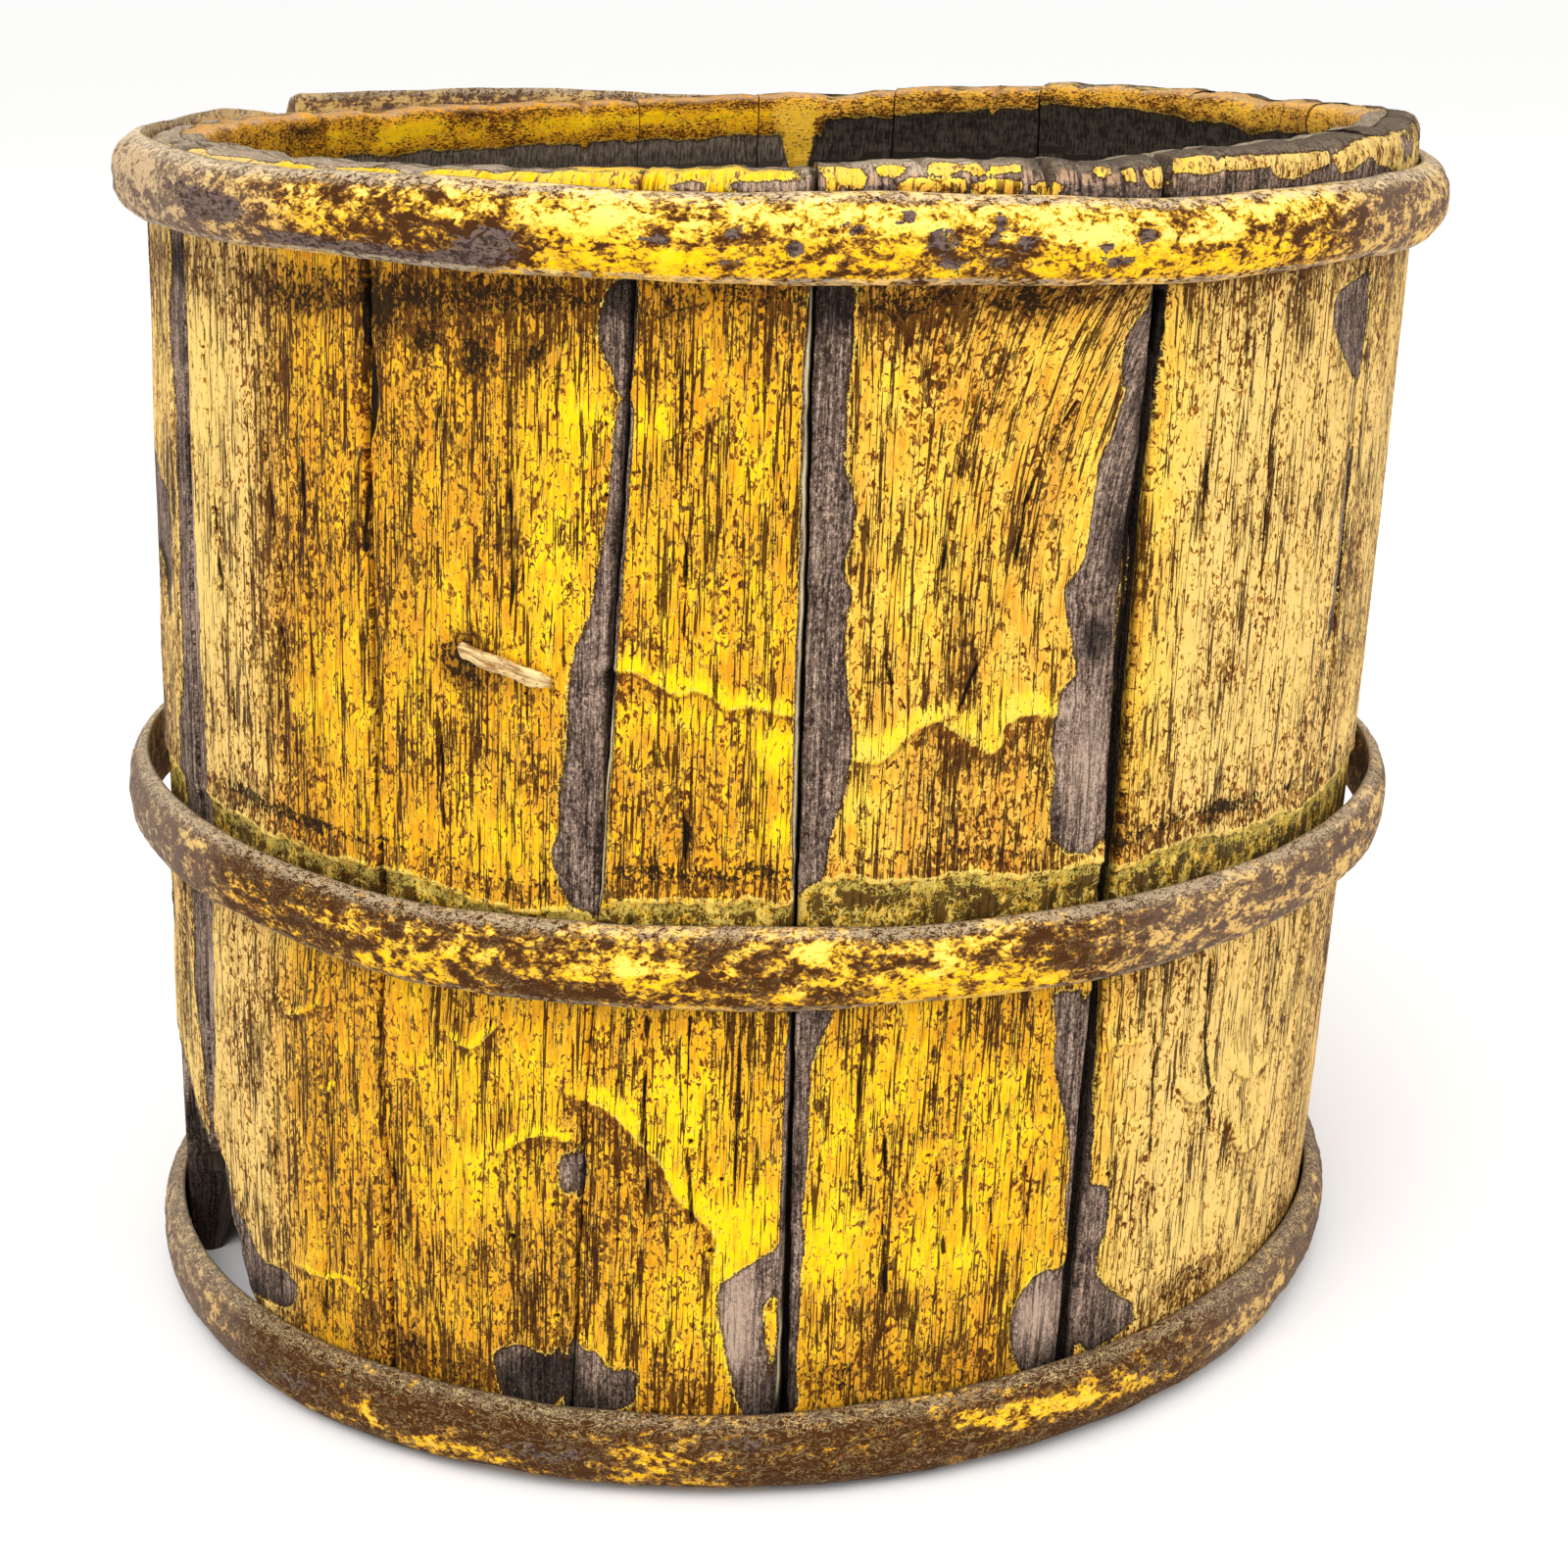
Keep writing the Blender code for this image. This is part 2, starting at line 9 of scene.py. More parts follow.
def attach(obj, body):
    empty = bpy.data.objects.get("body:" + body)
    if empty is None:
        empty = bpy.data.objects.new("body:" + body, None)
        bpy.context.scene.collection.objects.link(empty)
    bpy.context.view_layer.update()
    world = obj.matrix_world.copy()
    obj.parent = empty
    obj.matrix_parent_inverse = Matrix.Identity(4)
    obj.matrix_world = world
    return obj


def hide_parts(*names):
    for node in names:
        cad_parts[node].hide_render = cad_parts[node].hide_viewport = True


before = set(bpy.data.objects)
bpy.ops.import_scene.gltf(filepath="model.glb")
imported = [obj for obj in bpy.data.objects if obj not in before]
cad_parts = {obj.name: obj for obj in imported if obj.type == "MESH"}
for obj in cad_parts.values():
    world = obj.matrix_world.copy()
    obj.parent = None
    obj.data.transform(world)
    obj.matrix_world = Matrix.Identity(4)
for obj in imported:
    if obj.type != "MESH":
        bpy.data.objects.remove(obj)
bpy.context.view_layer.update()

# Sizes of the part in metres, the same as in its source. Names that end in _MM are in millimetres.
BODY_RADIUS = 0.112
FOOT_RADIUS = 0.1104
RIM_RADIUS = 0.1118
BODY_HEIGHT = 0.2104
WALL = 0.0102
LEAN = 0.060
RIM_SLOPE = -0.0094
FIT_GAP = 0.0003
GROOVE_LOW = 0.0165
GROOVE_HIGH = 0.0209
GROOVE_DEPTH = 0.0030
GROOVE_FLARE = 0.0005
CHIME_TOP = 0.0125
CHIME_CUT = 0.0042
BOARD_TURN = 20.0
LAP = 28.0
LAP_RAMP = 9.0
UNDER_SHARE = 0.42
TIP_SHARE = 0.24
BODY_SHIFT = np.array([-0.007357, -0.000018, 0.0])
RADIUS_MM = 1000.0 * BODY_RADIUS

# Each seam: degrees at the foot, degrees at the rim, opening at the foot, middle and rim, wander
SEAMS = (
    (-16.0, -12.0, 0.0005, 0.0005, 0.0006, 0.0003),
    (2.5, 0.8, 0.0017, 0.0007, 0.0007, 0.0002),
    (28.0, 28.6, 0.0022, 0.0025, 0.0012, 0.0003),
    (59.4, 55.6, 0.0006, 0.0007, 0.0006, 0.0003),
    (80.5, 79.0, 0.0004, 0.0006, 0.0004, 0.0003),
    (102.0, 101.0, 0.0004, 0.0006, 0.0005, 0.0003),
    (124.0, 124.5, 0.0005, 0.0007, 0.0004, 0.0003),
    (146.0, 146.2, 0.0004, 0.0005, 0.0004, 0.0004),
    (165.0, 164.8, 0.0005, 0.0008, 0.0004, 0.0003),
    (181.0, 181.4, 0.0004, 0.0005, 0.0005, 0.0003),
    (196.5, 196.3, 0.0004, 0.0006, 0.0004, 0.0003),
    (220.0, 220.9, 0.0005, 0.0009, 0.0004, 0.0004),
    (240.5, 241.5, 0.0004, 0.0005, 0.0004, 0.0003),
    (262.0, 261.0, 0.0005, 0.0006, 0.0004, 0.0003),
    (281.5, 282.5, 0.0004, 0.0007, 0.0004, 0.0003),
    (298.8, 299.4, 0.0006, 0.0009, 0.0007, 0.0003),
    (326.8, 325.4, 0.0004, 0.0007, 0.0010, 0.0008),
)

# Each stave: name, rise of its top over the rim plane, slope of its top, set-back of its face
STAVES = (
    ("front_narrow_stave", 0.0002, 0.0001, 0.0001),
    ("front_right_stave", 0.0007, -0.0006, 0.0003),
    ("right_front_stave", 0.0008, 0.0002, 0.0000),
    ("right_near_stave", 0.0015, 0.0002, 0.0003),
    ("right_middle_stave", 0.0008, -0.0003, 0.0001),
    ("right_far_stave", 0.0006, 0.0002, 0.0004),
    ("right_rear_stave", 0.0012, 0.0002, 0.0000),
    ("rear_right_stave", 0.0004, -0.0003, 0.0003),
    ("rear_middle_right_stave", -0.0008, -0.0003, 0.0001),
    ("rear_middle_left_stave", -0.0014, -0.0002, 0.0002),
    ("rear_left_stave", -0.0016, 0.0002, 0.0000),
    ("left_rear_stave", -0.0010, 0.0002, 0.0003),
    ("left_far_stave", -0.0004, 0.0003, 0.0001),
    ("left_middle_stave", 0.0000, 0.0002, 0.0003),
    ("left_broken_stave", 0.0002, -0.0002, 0.0000),
    ("left_front_stave", 0.0002, -0.0004, 0.0002),
    ("front_left_stave", 0.0000, 0.0001, 0.0000),
)
# The broken stave's end, as share across the stave and height, and how far it drops through the wall
BREAK_LINE = ((0.0, 0.052), (0.2, 0.0505), (0.38, 0.0478), (0.6, 0.0462), (0.8, 0.0405), (1.0, 0.0370))
BREAK_SLANT = 0.0125
# What its neighbour's edge has lost: height, degrees outside and inside
EDGE_WEAR = ((0.0, 9.6, 7.2), (0.0125, 8.6, 6.4), (0.0165, 6.6, 4.4), (0.0209, 5.2, 3.0),
             (0.034, 2.6, 0.8), (0.042, 0.0, 0.0))
# Height over which the broken stave is as whole as the others
BREAK_END = 0.0600
# Rounding of the rim, the foot and the long edges, and the bow of the side faces
RIM_DROP = 0.0036
RIM_OUTER_ROUND = 0.0024
RIM_INNER_ROUND = 0.0018
STRAIGHT_TOP = 0.2036
FOOT_ROUND_HEIGHT = 0.0012
FOOT_ROUND = 0.0006
EDGE_ROUND_MM = 0.9
SIDE_BOW = 0.0007
SIDE_STEPS = 6
# What the bevel of the foot and the groove take from the inside: height, depth
INSIDE_CUTS = ((0.0, CHIME_CUT), (FOOT_ROUND_HEIGHT, 0.9 * CHIME_CUT), (CHIME_TOP, 0.0), (GROOVE_LOW, 0.0),
               (GROOVE_LOW + GROOVE_FLARE, GROOVE_DEPTH), (GROOVE_HIGH - GROOVE_FLARE, GROOVE_DEPTH),
               (GROOVE_HIGH, 0.0))
# Splits of the stave tops: degrees and depth. Lost chips: degrees, depth and half width in degrees
RIM_SPLITS = ((18.3, 0.0042), (28.9, 0.0030), (9.2, 0.0010), (13.6, 0.0009), (34.0, 0.0012), (45.8, 0.0036),
              (-38.0, 0.0010), (96.0, 0.0018), (-96.0, 0.0016), (152.0, 0.0022), (-157.0, 0.0018))
SPLIT_WIDTH = 0.32
RIM_CHIPS = ((2.6, 0.0008, 1.6), (22.5, 0.0005, 3.0), (66.0, 0.0007, 4.0), (-48.0, 0.0004, 4.0),
             (113.0, 0.0009, 3.0), (-130.0, 0.0007, 4.0), (172.0, 0.0008, 3.0))
# Distance between points on the staves in full view and on the others, and how much longer it is up them
FINE_STEP = 0.00046
COARSE_STEP = 0.0010
LEVEL_STRETCH = 1.6
FRONT_STAVES = (0, 1, 2, 15, 16)
# The stave whose paint has gone chalky above the middle hoop
CHALKY_STAVE = 1
# Where edges of staves are rubbed to pale wood: stave number, side, lowest and highest millimetre
RUBBED_EDGES = ((0, 1, 100.0, 200.0), (0, 0, 100.0, 136.0), (0, 1, 15.0, 34.0))
# Depth of the painted band inside the rim, and by how much it is shorter on the darker part of the far wall
PAINTED_INSIDE_MM = 8.3
DARK_PART_SHORTENING_MM = 3.6
# Millimetres round the wall where the darker part inside starts and ends, and where the wide front gap is
DARK_PART_START_MM = 150.0
DARK_PART_END_MM = 338.4
WIDE_GAP_MM = 5.0
# Height over which only the paint left on the stave tops counts
TOP_MARKS_MM = 202.5


class Hoop(NamedTuple):
    """A bent strip. Its outer end lies at an angle off the front, and it runs on clockwise from there."""

    name: str
    centre: float
    tall: float
    thick: float
    slope: float
    slack: float
    outer_end: float
    waves: tuple  # pairs of degrees off the front and metres up
    ends: tuple  # pairs of degrees along the hoop and metres up
    fibre: float  # strength of the fibres in relief
    dirt_and_shade: float
    fade: tuple  # millimetres off the front where the paint starts to fade, left and right


TOP_HOOP_DROP = 0.0093
HOOP_POWER = 2.3
HOOP_BACK_POINTS = 6
HOOP_FACE_POINTS = 34
HOOP_STATIONS = 1100
# Where the hoops' noise starts, and how far apart they lie in it
HOOP_SEED = 100
HOOP_SEED_STEP = 40
HOOPS = (
    Hoop("top_hoop", BODY_HEIGHT - TOP_HOOP_DROP, 0.0126, 0.0051, -0.038, 0.0, -122.5,
         ((-110.0, 0.0007), (-62.0, 0.0006), (-52.0, 0.0001), (-38.0, 0.0008), (-10.0, 0.0006), (8.0, 0.0006),
          (28.0, -0.0007), (50.0, 0.0003), (70.0, 0.0003), (180.0, 0.0)),
         ((0.0, 0.0026), (20.0, 0.0026), (38.0, 0.0021), (50.0, 0.0016), (90.0, 0.0), (325.0, 0.0),
          (346.0, 0.0009), (360.0, -0.0012), (388.0, -0.0020)),
         0.6, 0.0, (60.0, 72.0)),
    Hoop("middle_hoop", 0.0920, 0.0132, 0.0034, -0.0366, 0.0027, 175.0,
         ((-100.0, 0.0002), (-64.0, 0.0009), (-30.0, -0.0009), (0.0, 0.0), (30.0, 0.0004), (62.0, 0.0015),
          (95.0, 0.0008), (180.0, 0.0)),
         ((0.0, 0.0006), (40.0, 0.0), (340.0, 0.0), (388.0, -0.0006)),
         1.6, 0.45, (84.0, 36.0)),
    Hoop("bottom_hoop", 0.0078, 0.0132, 0.0040, 0.0, 0.0, 215.0,
         ((-60.0, -0.0002), (0.0, 0.0), (60.0, 0.0003), (180.0, 0.0)),
         ((0.0, 0.0), (388.0, 0.0)),
         1.2, 1.0, (84.0, 66.0)),
)
SPLINTER_ENDS = ((-25.9, 0.1412), (-17.9, 0.1368))
SPLINTER_HEIGHT = 0.0026
SPLINTER_THICKNESS = 0.0013
SPLINTER_LENGTH_MM = 16.4
SPLINTER_POINTS = 28
SPLINTER_STATIONS = 90

# The camera that took the photograph, in metres and radians, with pictures 1600 wide
CAMERA_PLACE = np.array([-0.007357, -0.481679, 0.241016])
CAMERA_PITCH = 0.31240
CAMERA_YAW = 0.02113
CAMERA_ROLL = 0.0215
FOCAL_PIXELS = 2660.72
PICTURE_WIDTH = 1600
PIXELS_IN_MM = 7.0
SENSOR = 36.0
# Millimetres off the front between which the wall, its rim and the hoops go out of sight
SHOWN_EDGE_MM = (108.0, 124.0)
RIM_SHOWN_MM = (112.0, 120.0)
HOOP_SHOWN_MM = (112.0, 124.0)

# Marks on the body below are given by places in the photograph, which the camera carries to the wall.
# Outlines where the paint has gone
BARE_PATCHES = (
    ((829, 280), (872, 285), (876, 300), (870, 324), (874, 356), (864, 400), (867, 432), (862, 472),
     (873, 508), (874, 540), (862, 572), (865, 596), (872, 604), (865, 632), (863, 680), (869, 724),
     (868, 780), (860, 824), (848, 852), (844, 880), (838, 905), (815, 905), (822, 600)),
    ((811, 1025), (850, 1030), (848, 1040), (836, 1068), (826, 1092), (824, 1200), (816, 1240), (822, 1272),
     (816, 1304), (814, 1344), (808, 1400), (816, 1432), (799, 1442), (803, 1240)),
    ((617, 290), (643, 286), (640, 340), (633, 397), (627, 383), (610, 357), (610, 327)),
    ((633, 420), (641, 420), (633, 500), (630, 560), (623, 660), (617, 760), (611, 873), (606, 930),
     (583, 927), (573, 907), (560, 873), (570, 850), (570, 823), (573, 783), (577, 773), (578, 727),
     (580, 690), (590, 650), (603, 627), (607, 593), (617, 547), (623, 507)),
    ((1188, 280), (1183, 297), (1180, 310), (1160, 327), (1147, 353), (1147, 393), (1153, 397), (1143, 417),
     (1137, 443), (1123, 473), (1117, 513), (1110, 563), (1103, 583), (1087, 600), (1089, 622), (1093, 657),
     (1100, 690), (1087, 697), (1080, 713), (1073, 760), (1077, 790), (1072, 825), (1075, 870), (1126, 870),
     (1130, 760), (1140, 640), (1147, 560), (1166, 440), (1182, 340)),
    ((1077, 1012), (1076, 1024), (1080, 1056), (1076, 1072), (1084, 1120), (1092, 1160), (1096, 1200),
     (1087, 1220), (1092, 1256), (1104, 1256), (1110, 1120), (1114, 1010)),
    ((1090, 1296), (1064, 1296), (1044, 1316), (1032, 1340), (1032, 1368), (1036, 1396), (1060, 1410),
     (1088, 1400), (1096, 1330)),
    ((803, 1270), (784, 1280), (752, 1298), (732, 1312), (732, 1340), (740, 1384), (752, 1432), (760, 1450),
     (798, 1450), (788, 1420), (784, 1384), (780, 1360), (780, 1336), (785, 1324), (801, 1318)),
    ((580, 1376), (612, 1380), (620, 1400), (648, 1396), (652, 1420), (640, 1440), (576, 1444)),
    ((502, 1380), (526, 1371), (545, 1377), (560, 1386), (574, 1368), (577, 1440), (514, 1432), (505, 1402)),
    ((1112, 1210), (1135, 1210), (1130, 1250), (1120, 1280), (1120, 1304), (1140, 1320), (1160, 1332),
     (1160, 1350), (1092, 1392), (1100, 1260)),
    ((1360, 313), (1370, 292), (1400, 274), (1397, 330), (1390, 380), (1383, 390), (1370, 363), (1363, 340)),
    ((1379, 463), (1383, 463), (1373, 520), (1366, 597), (1356, 663), (1353, 663), (1363, 597), (1370, 520)),
    ((175, 300), (189, 300), (192, 460), (194, 480), (200, 600), (208, 760), (214, 900), (221, 1130),
     (208, 1130), (200, 900), (188, 700), (180, 460)),
    ((569, 1180), (588, 1176), (586, 1217), (570, 1217)),
    ((217, 1170), (232, 1190), (236, 1229), (252, 1250), (262, 1285), (300, 1300), (304, 1340), (262, 1322),
     (226, 1300)),
    ((680, 184), (720, 184), (718, 197), (684, 197)),
    ((740, 185), (790, 182), (838, 184), (836, 199), (745, 199)),
)

# Outlines of the paint left on the stave tops right of the wide gap
RIM_PAINT = (
    ((853, 172), (878, 172), (884, 182), (880, 191), (868, 192), (856, 186)),
    ((893, 168), (922, 161), (925, 174), (915, 180), (900, 178)),
    ((948, 160), (1000, 157), (1043, 161), (1044, 174), (1020, 176), (1000, 179), (985, 172), (960, 179),
     (950, 174)),
    ((918, 190), (930, 184), (985, 184), (985, 203), (918, 203)),
    ((992, 190), (1015, 184), (1043, 187), (1043, 203), (992, 203)),
    ((1053, 192), (1070, 186), (1090, 192), (1092, 203), (1053, 203)),
    ((1118, 167), (1135, 165), (1137, 176), (1125, 180)),
    ((1150, 175), (1160, 173), (1160, 185), (1152, 184)),
    ((1170, 176), (1190, 172), (1198, 180), (1197, 190), (1175, 190)),
    ((1199, 158), (1250, 160), (1252, 172), (1232, 176), (1202, 174)),
    ((1254, 162), (1300, 160), (1357, 156), (1357, 166), (1335, 174), (1322, 181), (1303, 179), (1298, 168),
     (1270, 172), (1255, 172)),
    ((1362, 160), (1380, 150), (1400, 142), (1440, 138), (1466, 137), (1467, 165), (1430, 172), (1412, 168),
     (1396, 158), (1380, 172), (1366, 176)),
)

# The tongue of wood that stands proud below the knot
TONGUE_OUTLINE = ((1092, 626), (1104, 613), (1124, 618), (1138, 640), (1136, 700), (1128, 860), (1124, 905),
                  (1078, 905), (1076, 800), (1084, 700), (1088, 650))
# Millimetres round and up the wall where the fan of slanted grain starts, its reach up and its spread
SLANTED_GRAIN = (14.0, 145.0, 48.0, 0.38)

# Lower edges of thick paint that ran and set: strength, then their course
PAINT_LIPS = (
    (0.8, ((620, 684), (644, 684), (672, 700), (696, 712), (712, 700), (744, 728), (760, 720), (808, 732))),
    (1.0, ((868, 776), (900, 780), (924, 752), (956, 734), (968, 744), (992, 760), (1012, 772), (1024, 760),
           (1024, 740), (1044, 728), (1072, 732))),
    (1.0, ((600, 1124), (620, 1132), (640, 1152), (656, 1172), (676, 1188), (684, 1216), (708, 1240),
           (720, 1248), (732, 1264), (728, 1288))),
    (0.5, ((517, 1173), (533, 1162), (560, 1157), (577, 1163))),
    (0.35, ((300, 1290), (330, 1306), (348, 1302), (372, 1322))),
    (0.5, ((458, 1056), (474, 1070), (488, 1068), (502, 1054))),
    (0.3, ((281, 1012), (290, 1034), (304, 1036), (322, 1028))),
    (0.6, ((1203, 1112), (1214, 1126), (1228, 1122), (1238, 1104))),
    (0.9, ((1255, 1150), (1262, 1178), (1280, 1170), (1286, 1140))),
    (0.3, ((1128, 1072), (1146, 1064), (1160, 1066), (1172, 1052))),
    (0.3, ((323, 1103), (332, 1118), (340, 1108))),
    (0.7, ((1258, 1092), (1272, 1102), (1286, 1088))),
)

# The old seat of the middle hoop: above it the wood kept its full thickness
LEDGE = ((207, 810), (223, 820), (273, 853), (297, 863), (327, 873), (380, 887), (423, 897), (460, 907),
         (493, 922), (540, 930), (583, 932), (620, 926), (700, 923), (800, 922), (814, 918), (824, 898),
         (838, 897), (900, 900), (1020, 897), (1070, 890), (1120, 878), (1135, 887), (1165, 877), (1205, 862),
         (1230, 849), (1265, 847), (1320, 827), (1350, 807))

# Cracks along the grain: width in millimetres, then their course
CRACKS = (
    (0.5, ((698, 340), (694, 430), (700, 520), (697, 700))),
    (0.5, ((794, 472), (802, 540))),
    (0.9, ((694, 818), (701, 850), (697, 884))),
    (0.7, ((902, 668), (912, 700))),
    (0.5, ((1020, 312), (996, 400), (972, 524), (960, 604))),
    (0.5, ((1100, 412), (1068, 460), (1048, 516), (1036, 580), (1020, 640), (992, 692), (972, 740))),
    (0.6, ((660, 1040), (657, 1140), (663, 1264))),
    (0.5, ((704, 1040), (700, 1150), (706, 1250))),
    (0.6, ((904, 1148), (901, 1240), (905, 1320))),
    (0.5, ((952, 1040), (955, 1160), (964, 1280))),
    (0.6, ((1012, 1224), (1013, 1280))),
    (0.5, ((1048, 1192), (1046, 1256))),
    (0.8, ((1236, 980), (1231, 1060), (1235, 1150))),
    (0.6, ((268, 440), (276, 530), (290, 613))),
    (0.6, ((281, 613), (292, 693))),
    (0.6, ((392, 1057), (398, 1140), (402, 1213))),
    (0.6, ((276, 1040), (278, 1130), (281, 1207))),
    (0.7, ((205, 330), (212, 450), (225, 600))),
    (0.5, ((305, 470), (312, 560), (318, 690))),
    (0.5, ((236, 700), (243, 780))),
    (0.4, ((520, 480), (523, 600), (518, 640))),
    (0.4, ((448, 700), (452, 860))),
    (0.4, ((1240, 330), (1232, 480), (1226, 560))),
    (0.4, ((1300, 420), (1290, 560), (1280, 700))),
    (0.5, ((880, 1050), (876, 1160), (880, 1230))),
    (0.5, ((500, 1040), (505, 1120))),
    (0.6, ((756, 1050), (752, 1160), (748, 1230))),
    (0.5, ((1180, 1040), (1176, 1160), (1172, 1240))),
    (0.5, ((330, 1340), (334, 1250), (330, 1180))),
    (0.8, ((188, 880), (189, 1000), (192, 1110))),
    # Along the wide front gap: its near black is painted shade that makes the gap look wider.
    (1.4, ((1190, 300), (1187, 340), (1171, 440), (1152, 560), (1145, 640), (1137, 760), (1131, 870),
           (1128, 905))),
    (1.6, ((374, 286), (370, 330), (379, 380), (381, 410), (376, 440))),
    (0.9, ((376, 440), (372, 500), (370, 560))),
)

# Soft round marks: place, half width and half height in the photograph, strength
DARK_STAINS = (
    (433, 343, 18, 16, 1.6), (489, 362, 16, 28, 2.0), (545, 360, 18, 16, 1.8), (300, 300, 60, 16, 0.7),
    (420, 300, 60, 16, 0.8), (540, 304, 60, 14, 0.8), (285, 385, 70, 45, 0.55), (262, 810, 36, 18, 1.0),
    (306, 848, 42, 20, 0.8), (323, 837, 10, 10, 1.0), (768, 1168, 9, 9, 1.0), (924, 1330, 110, 16, 0.7),
    (378, 1338, 14, 26, 0.9), (420, 1362, 12, 24, 0.9), (475, 1298, 34, 20, 0.9), (1148, 832, 10, 34, 0.8),
    (1243, 832, 18, 14, 0.9), (1212, 1300, 38, 24, 0.7), (348, 890, 20, 16, 1.1), (390, 897, 18, 14, 1.0),
    (457, 912, 12, 12, 0.9), (1000, 832, 16, 14, 0.7), (700, 852, 11, 30, 1.6), (715, 904, 80, 14, 1.0),
    (650, 884, 30, 8, 0.9), (770, 884, 26, 10, 0.9), (980, 918, 150, 12, 0.7), (395, 430, 12, 90, 0.6),
    # On the next line, the mark at (474, 674) by the splinter's left end is partly a rust stain and partly
    # painted shadow.
    (392, 330, 14, 40, 0.8), (405, 600, 30, 60, 0.5), (474, 674, 28, 32, 1.8), (520, 700, 60, 18, 0.8),
    (555, 1185, 25, 28, 0.8), (640, 1205, 40, 55, 0.5), (330, 1322, 26, 14, 0.8), (1225, 840, 90, 20, 0.6),
    (1340, 330, 20, 40, 0.6), (284, 640, 22, 80, 0.6), (272, 500, 18, 110, 0.6), (560, 1400, 30, 40, 0.8),
    (450, 1390, 60, 24, 0.6), (880, 1390, 120, 22, 0.5), (690, 330, 14, 30, 0.5), (230, 1060, 20, 60, 0.5),
    (265, 1050, 20, 60, 0.7), (300, 1180, 30, 40, 0.5), (1290, 560, 20, 60, 0.3), (1180, 590, 18, 60, 0.4),
    (920, 320, 40, 18, 0.6), (1050, 310, 60, 14, 0.7), (760, 300, 50, 12, 0.5), (960, 700, 30, 30, 0.5),
    # From the second mark on the next line, the marks beside the wide front gap are painted shade that makes
    # it look wider.
    (1116, 655, 18, 34, 1.3), (1140, 560, 12, 60, 0.9), (1152, 640, 8, 60, 1.2), (1143, 760, 8, 70, 1.2),
    (1136, 860, 8, 50, 1.0), (1165, 430, 7, 60, 0.9),
)
WORN_AREAS = (
    (300, 420, 70, 100, 0.4), (450, 400, 90, 90, 0.25), (940, 410, 80, 90, 0.4), (1260, 1120, 60, 80, 0.3),
    (480, 400, 100, 80, 0.7), (940, 380, 60, 60, 0.7), (300, 1030, 60, 60, 0.9), (500, 330, 70, 50, 0.5),
    (760, 560, 30, 60, 0.2), (1040, 380, 50, 50, 0.5), (560, 470, 30, 50, 0.4), (470, 560, 80, 70, 0.5),
    (340, 620, 60, 160, 0.5), (480, 780, 90, 70, 0.7), (700, 820, 50, 60, 0.4), (930, 820, 60, 50, 0.3),
    (980, 560, 60, 160, 0.15), (1090, 520, 40, 80, 0.5), (1270, 640, 70, 90, 0.35), (1260, 800, 70, 50, 0.6),
    (380, 1180, 80, 90, 0.5), (640, 1220, 50, 90, 0.6), (930, 1230, 80, 90, 0.2), (1040, 1180, 40, 90, 0.3),
    (1200, 1200, 40, 90, 0.1), (650, 1320, 60, 80, 0.9), (880, 1340, 80, 40, 0.4), (460, 1250, 70, 50, 0.4),
    (700, 600, 50, 60, 0.1), (320, 780, 60, 50, 0.6), (300, 340, 60, 50, 0.5), (270, 700, 40, 120, 0.4),
    (430, 350, 60, 60, 0.4),
)
BRIGHT_AREAS = (
    (720, 600, 40, 70, 0.3), (960, 560, 60, 90, 0.3), (300, 700, 50, 60, 0.3), (950, 1280, 80, 70, 0.5),
    (1225, 1245, 80, 60, 0.7), (705, 1110, 70, 60, 0.4), (755, 1350, 24, 80, 1.5), (1062, 1345, 28, 46, 1.2),
    (610, 1400, 40, 30, 0.5), (206, 400, 18, 110, 1.3), (208, 600, 18, 110, 1.3), (216, 980, 18, 100, 0.8),
    (1108, 780, 26, 90, 0.9), (1112, 500, 16, 90, 0.7), (1200, 380, 40, 120, 0.4), (1330, 620, 40, 160, 0.5),
    (1220, 520, 50, 120, 0.4), (1200, 700, 50, 80, 0.5), (1280, 1080, 50, 120, 0.5),
    (1180, 1180, 50, 90, 0.4), (1270, 430, 60, 90, 0.6), (1220, 1110, 70, 60, 0.5), (1225, 1240, 60, 50, 0.4),
    (1260, 600, 60, 70, 0.3), (1240, 760, 60, 40, 0.3), (780, 620, 20, 60, 0.5), (660, 560, 24, 60, 0.4),
    (670, 432, 26, 26, 1.0), (916, 392, 24, 30, 1.0), (597, 420, 22, 30, 1.0), (571, 560, 40, 95, 0.9),
    (790, 760, 20, 22, 1.0), (794, 846, 10, 16, 1.0), (720, 730, 60, 22, 0.7), (900, 762, 34, 18, 0.9),
    (1048, 722, 30, 14, 0.9), (880, 830, 20, 60, 0.7), (1000, 720, 40, 24, 0.6), (640, 750, 30, 30, 0.6),
    (760, 470, 40, 60, 0.5), (520, 1090, 60, 60, 0.6), (690, 1130, 50, 60, 0.8), (870, 1130, 60, 90, 0.7),
    (760, 1240, 40, 40, 0.8), (1010, 1140, 60, 80, 0.6), (500, 1200, 60, 60, 0.5), (450, 920, 40, 14, 0.8),
    (560, 930, 40, 10, 0.6), (520, 850, 50, 40, 0.5), (430, 720, 40, 60, 0.3), (850, 1260, 30, 50, 0.8),
    (700, 1350, 30, 60, 0.6), (960, 450, 60, 60, 0.4), (1060, 350, 50, 40, 0.5), (930, 620, 40, 60, 0.4),
)
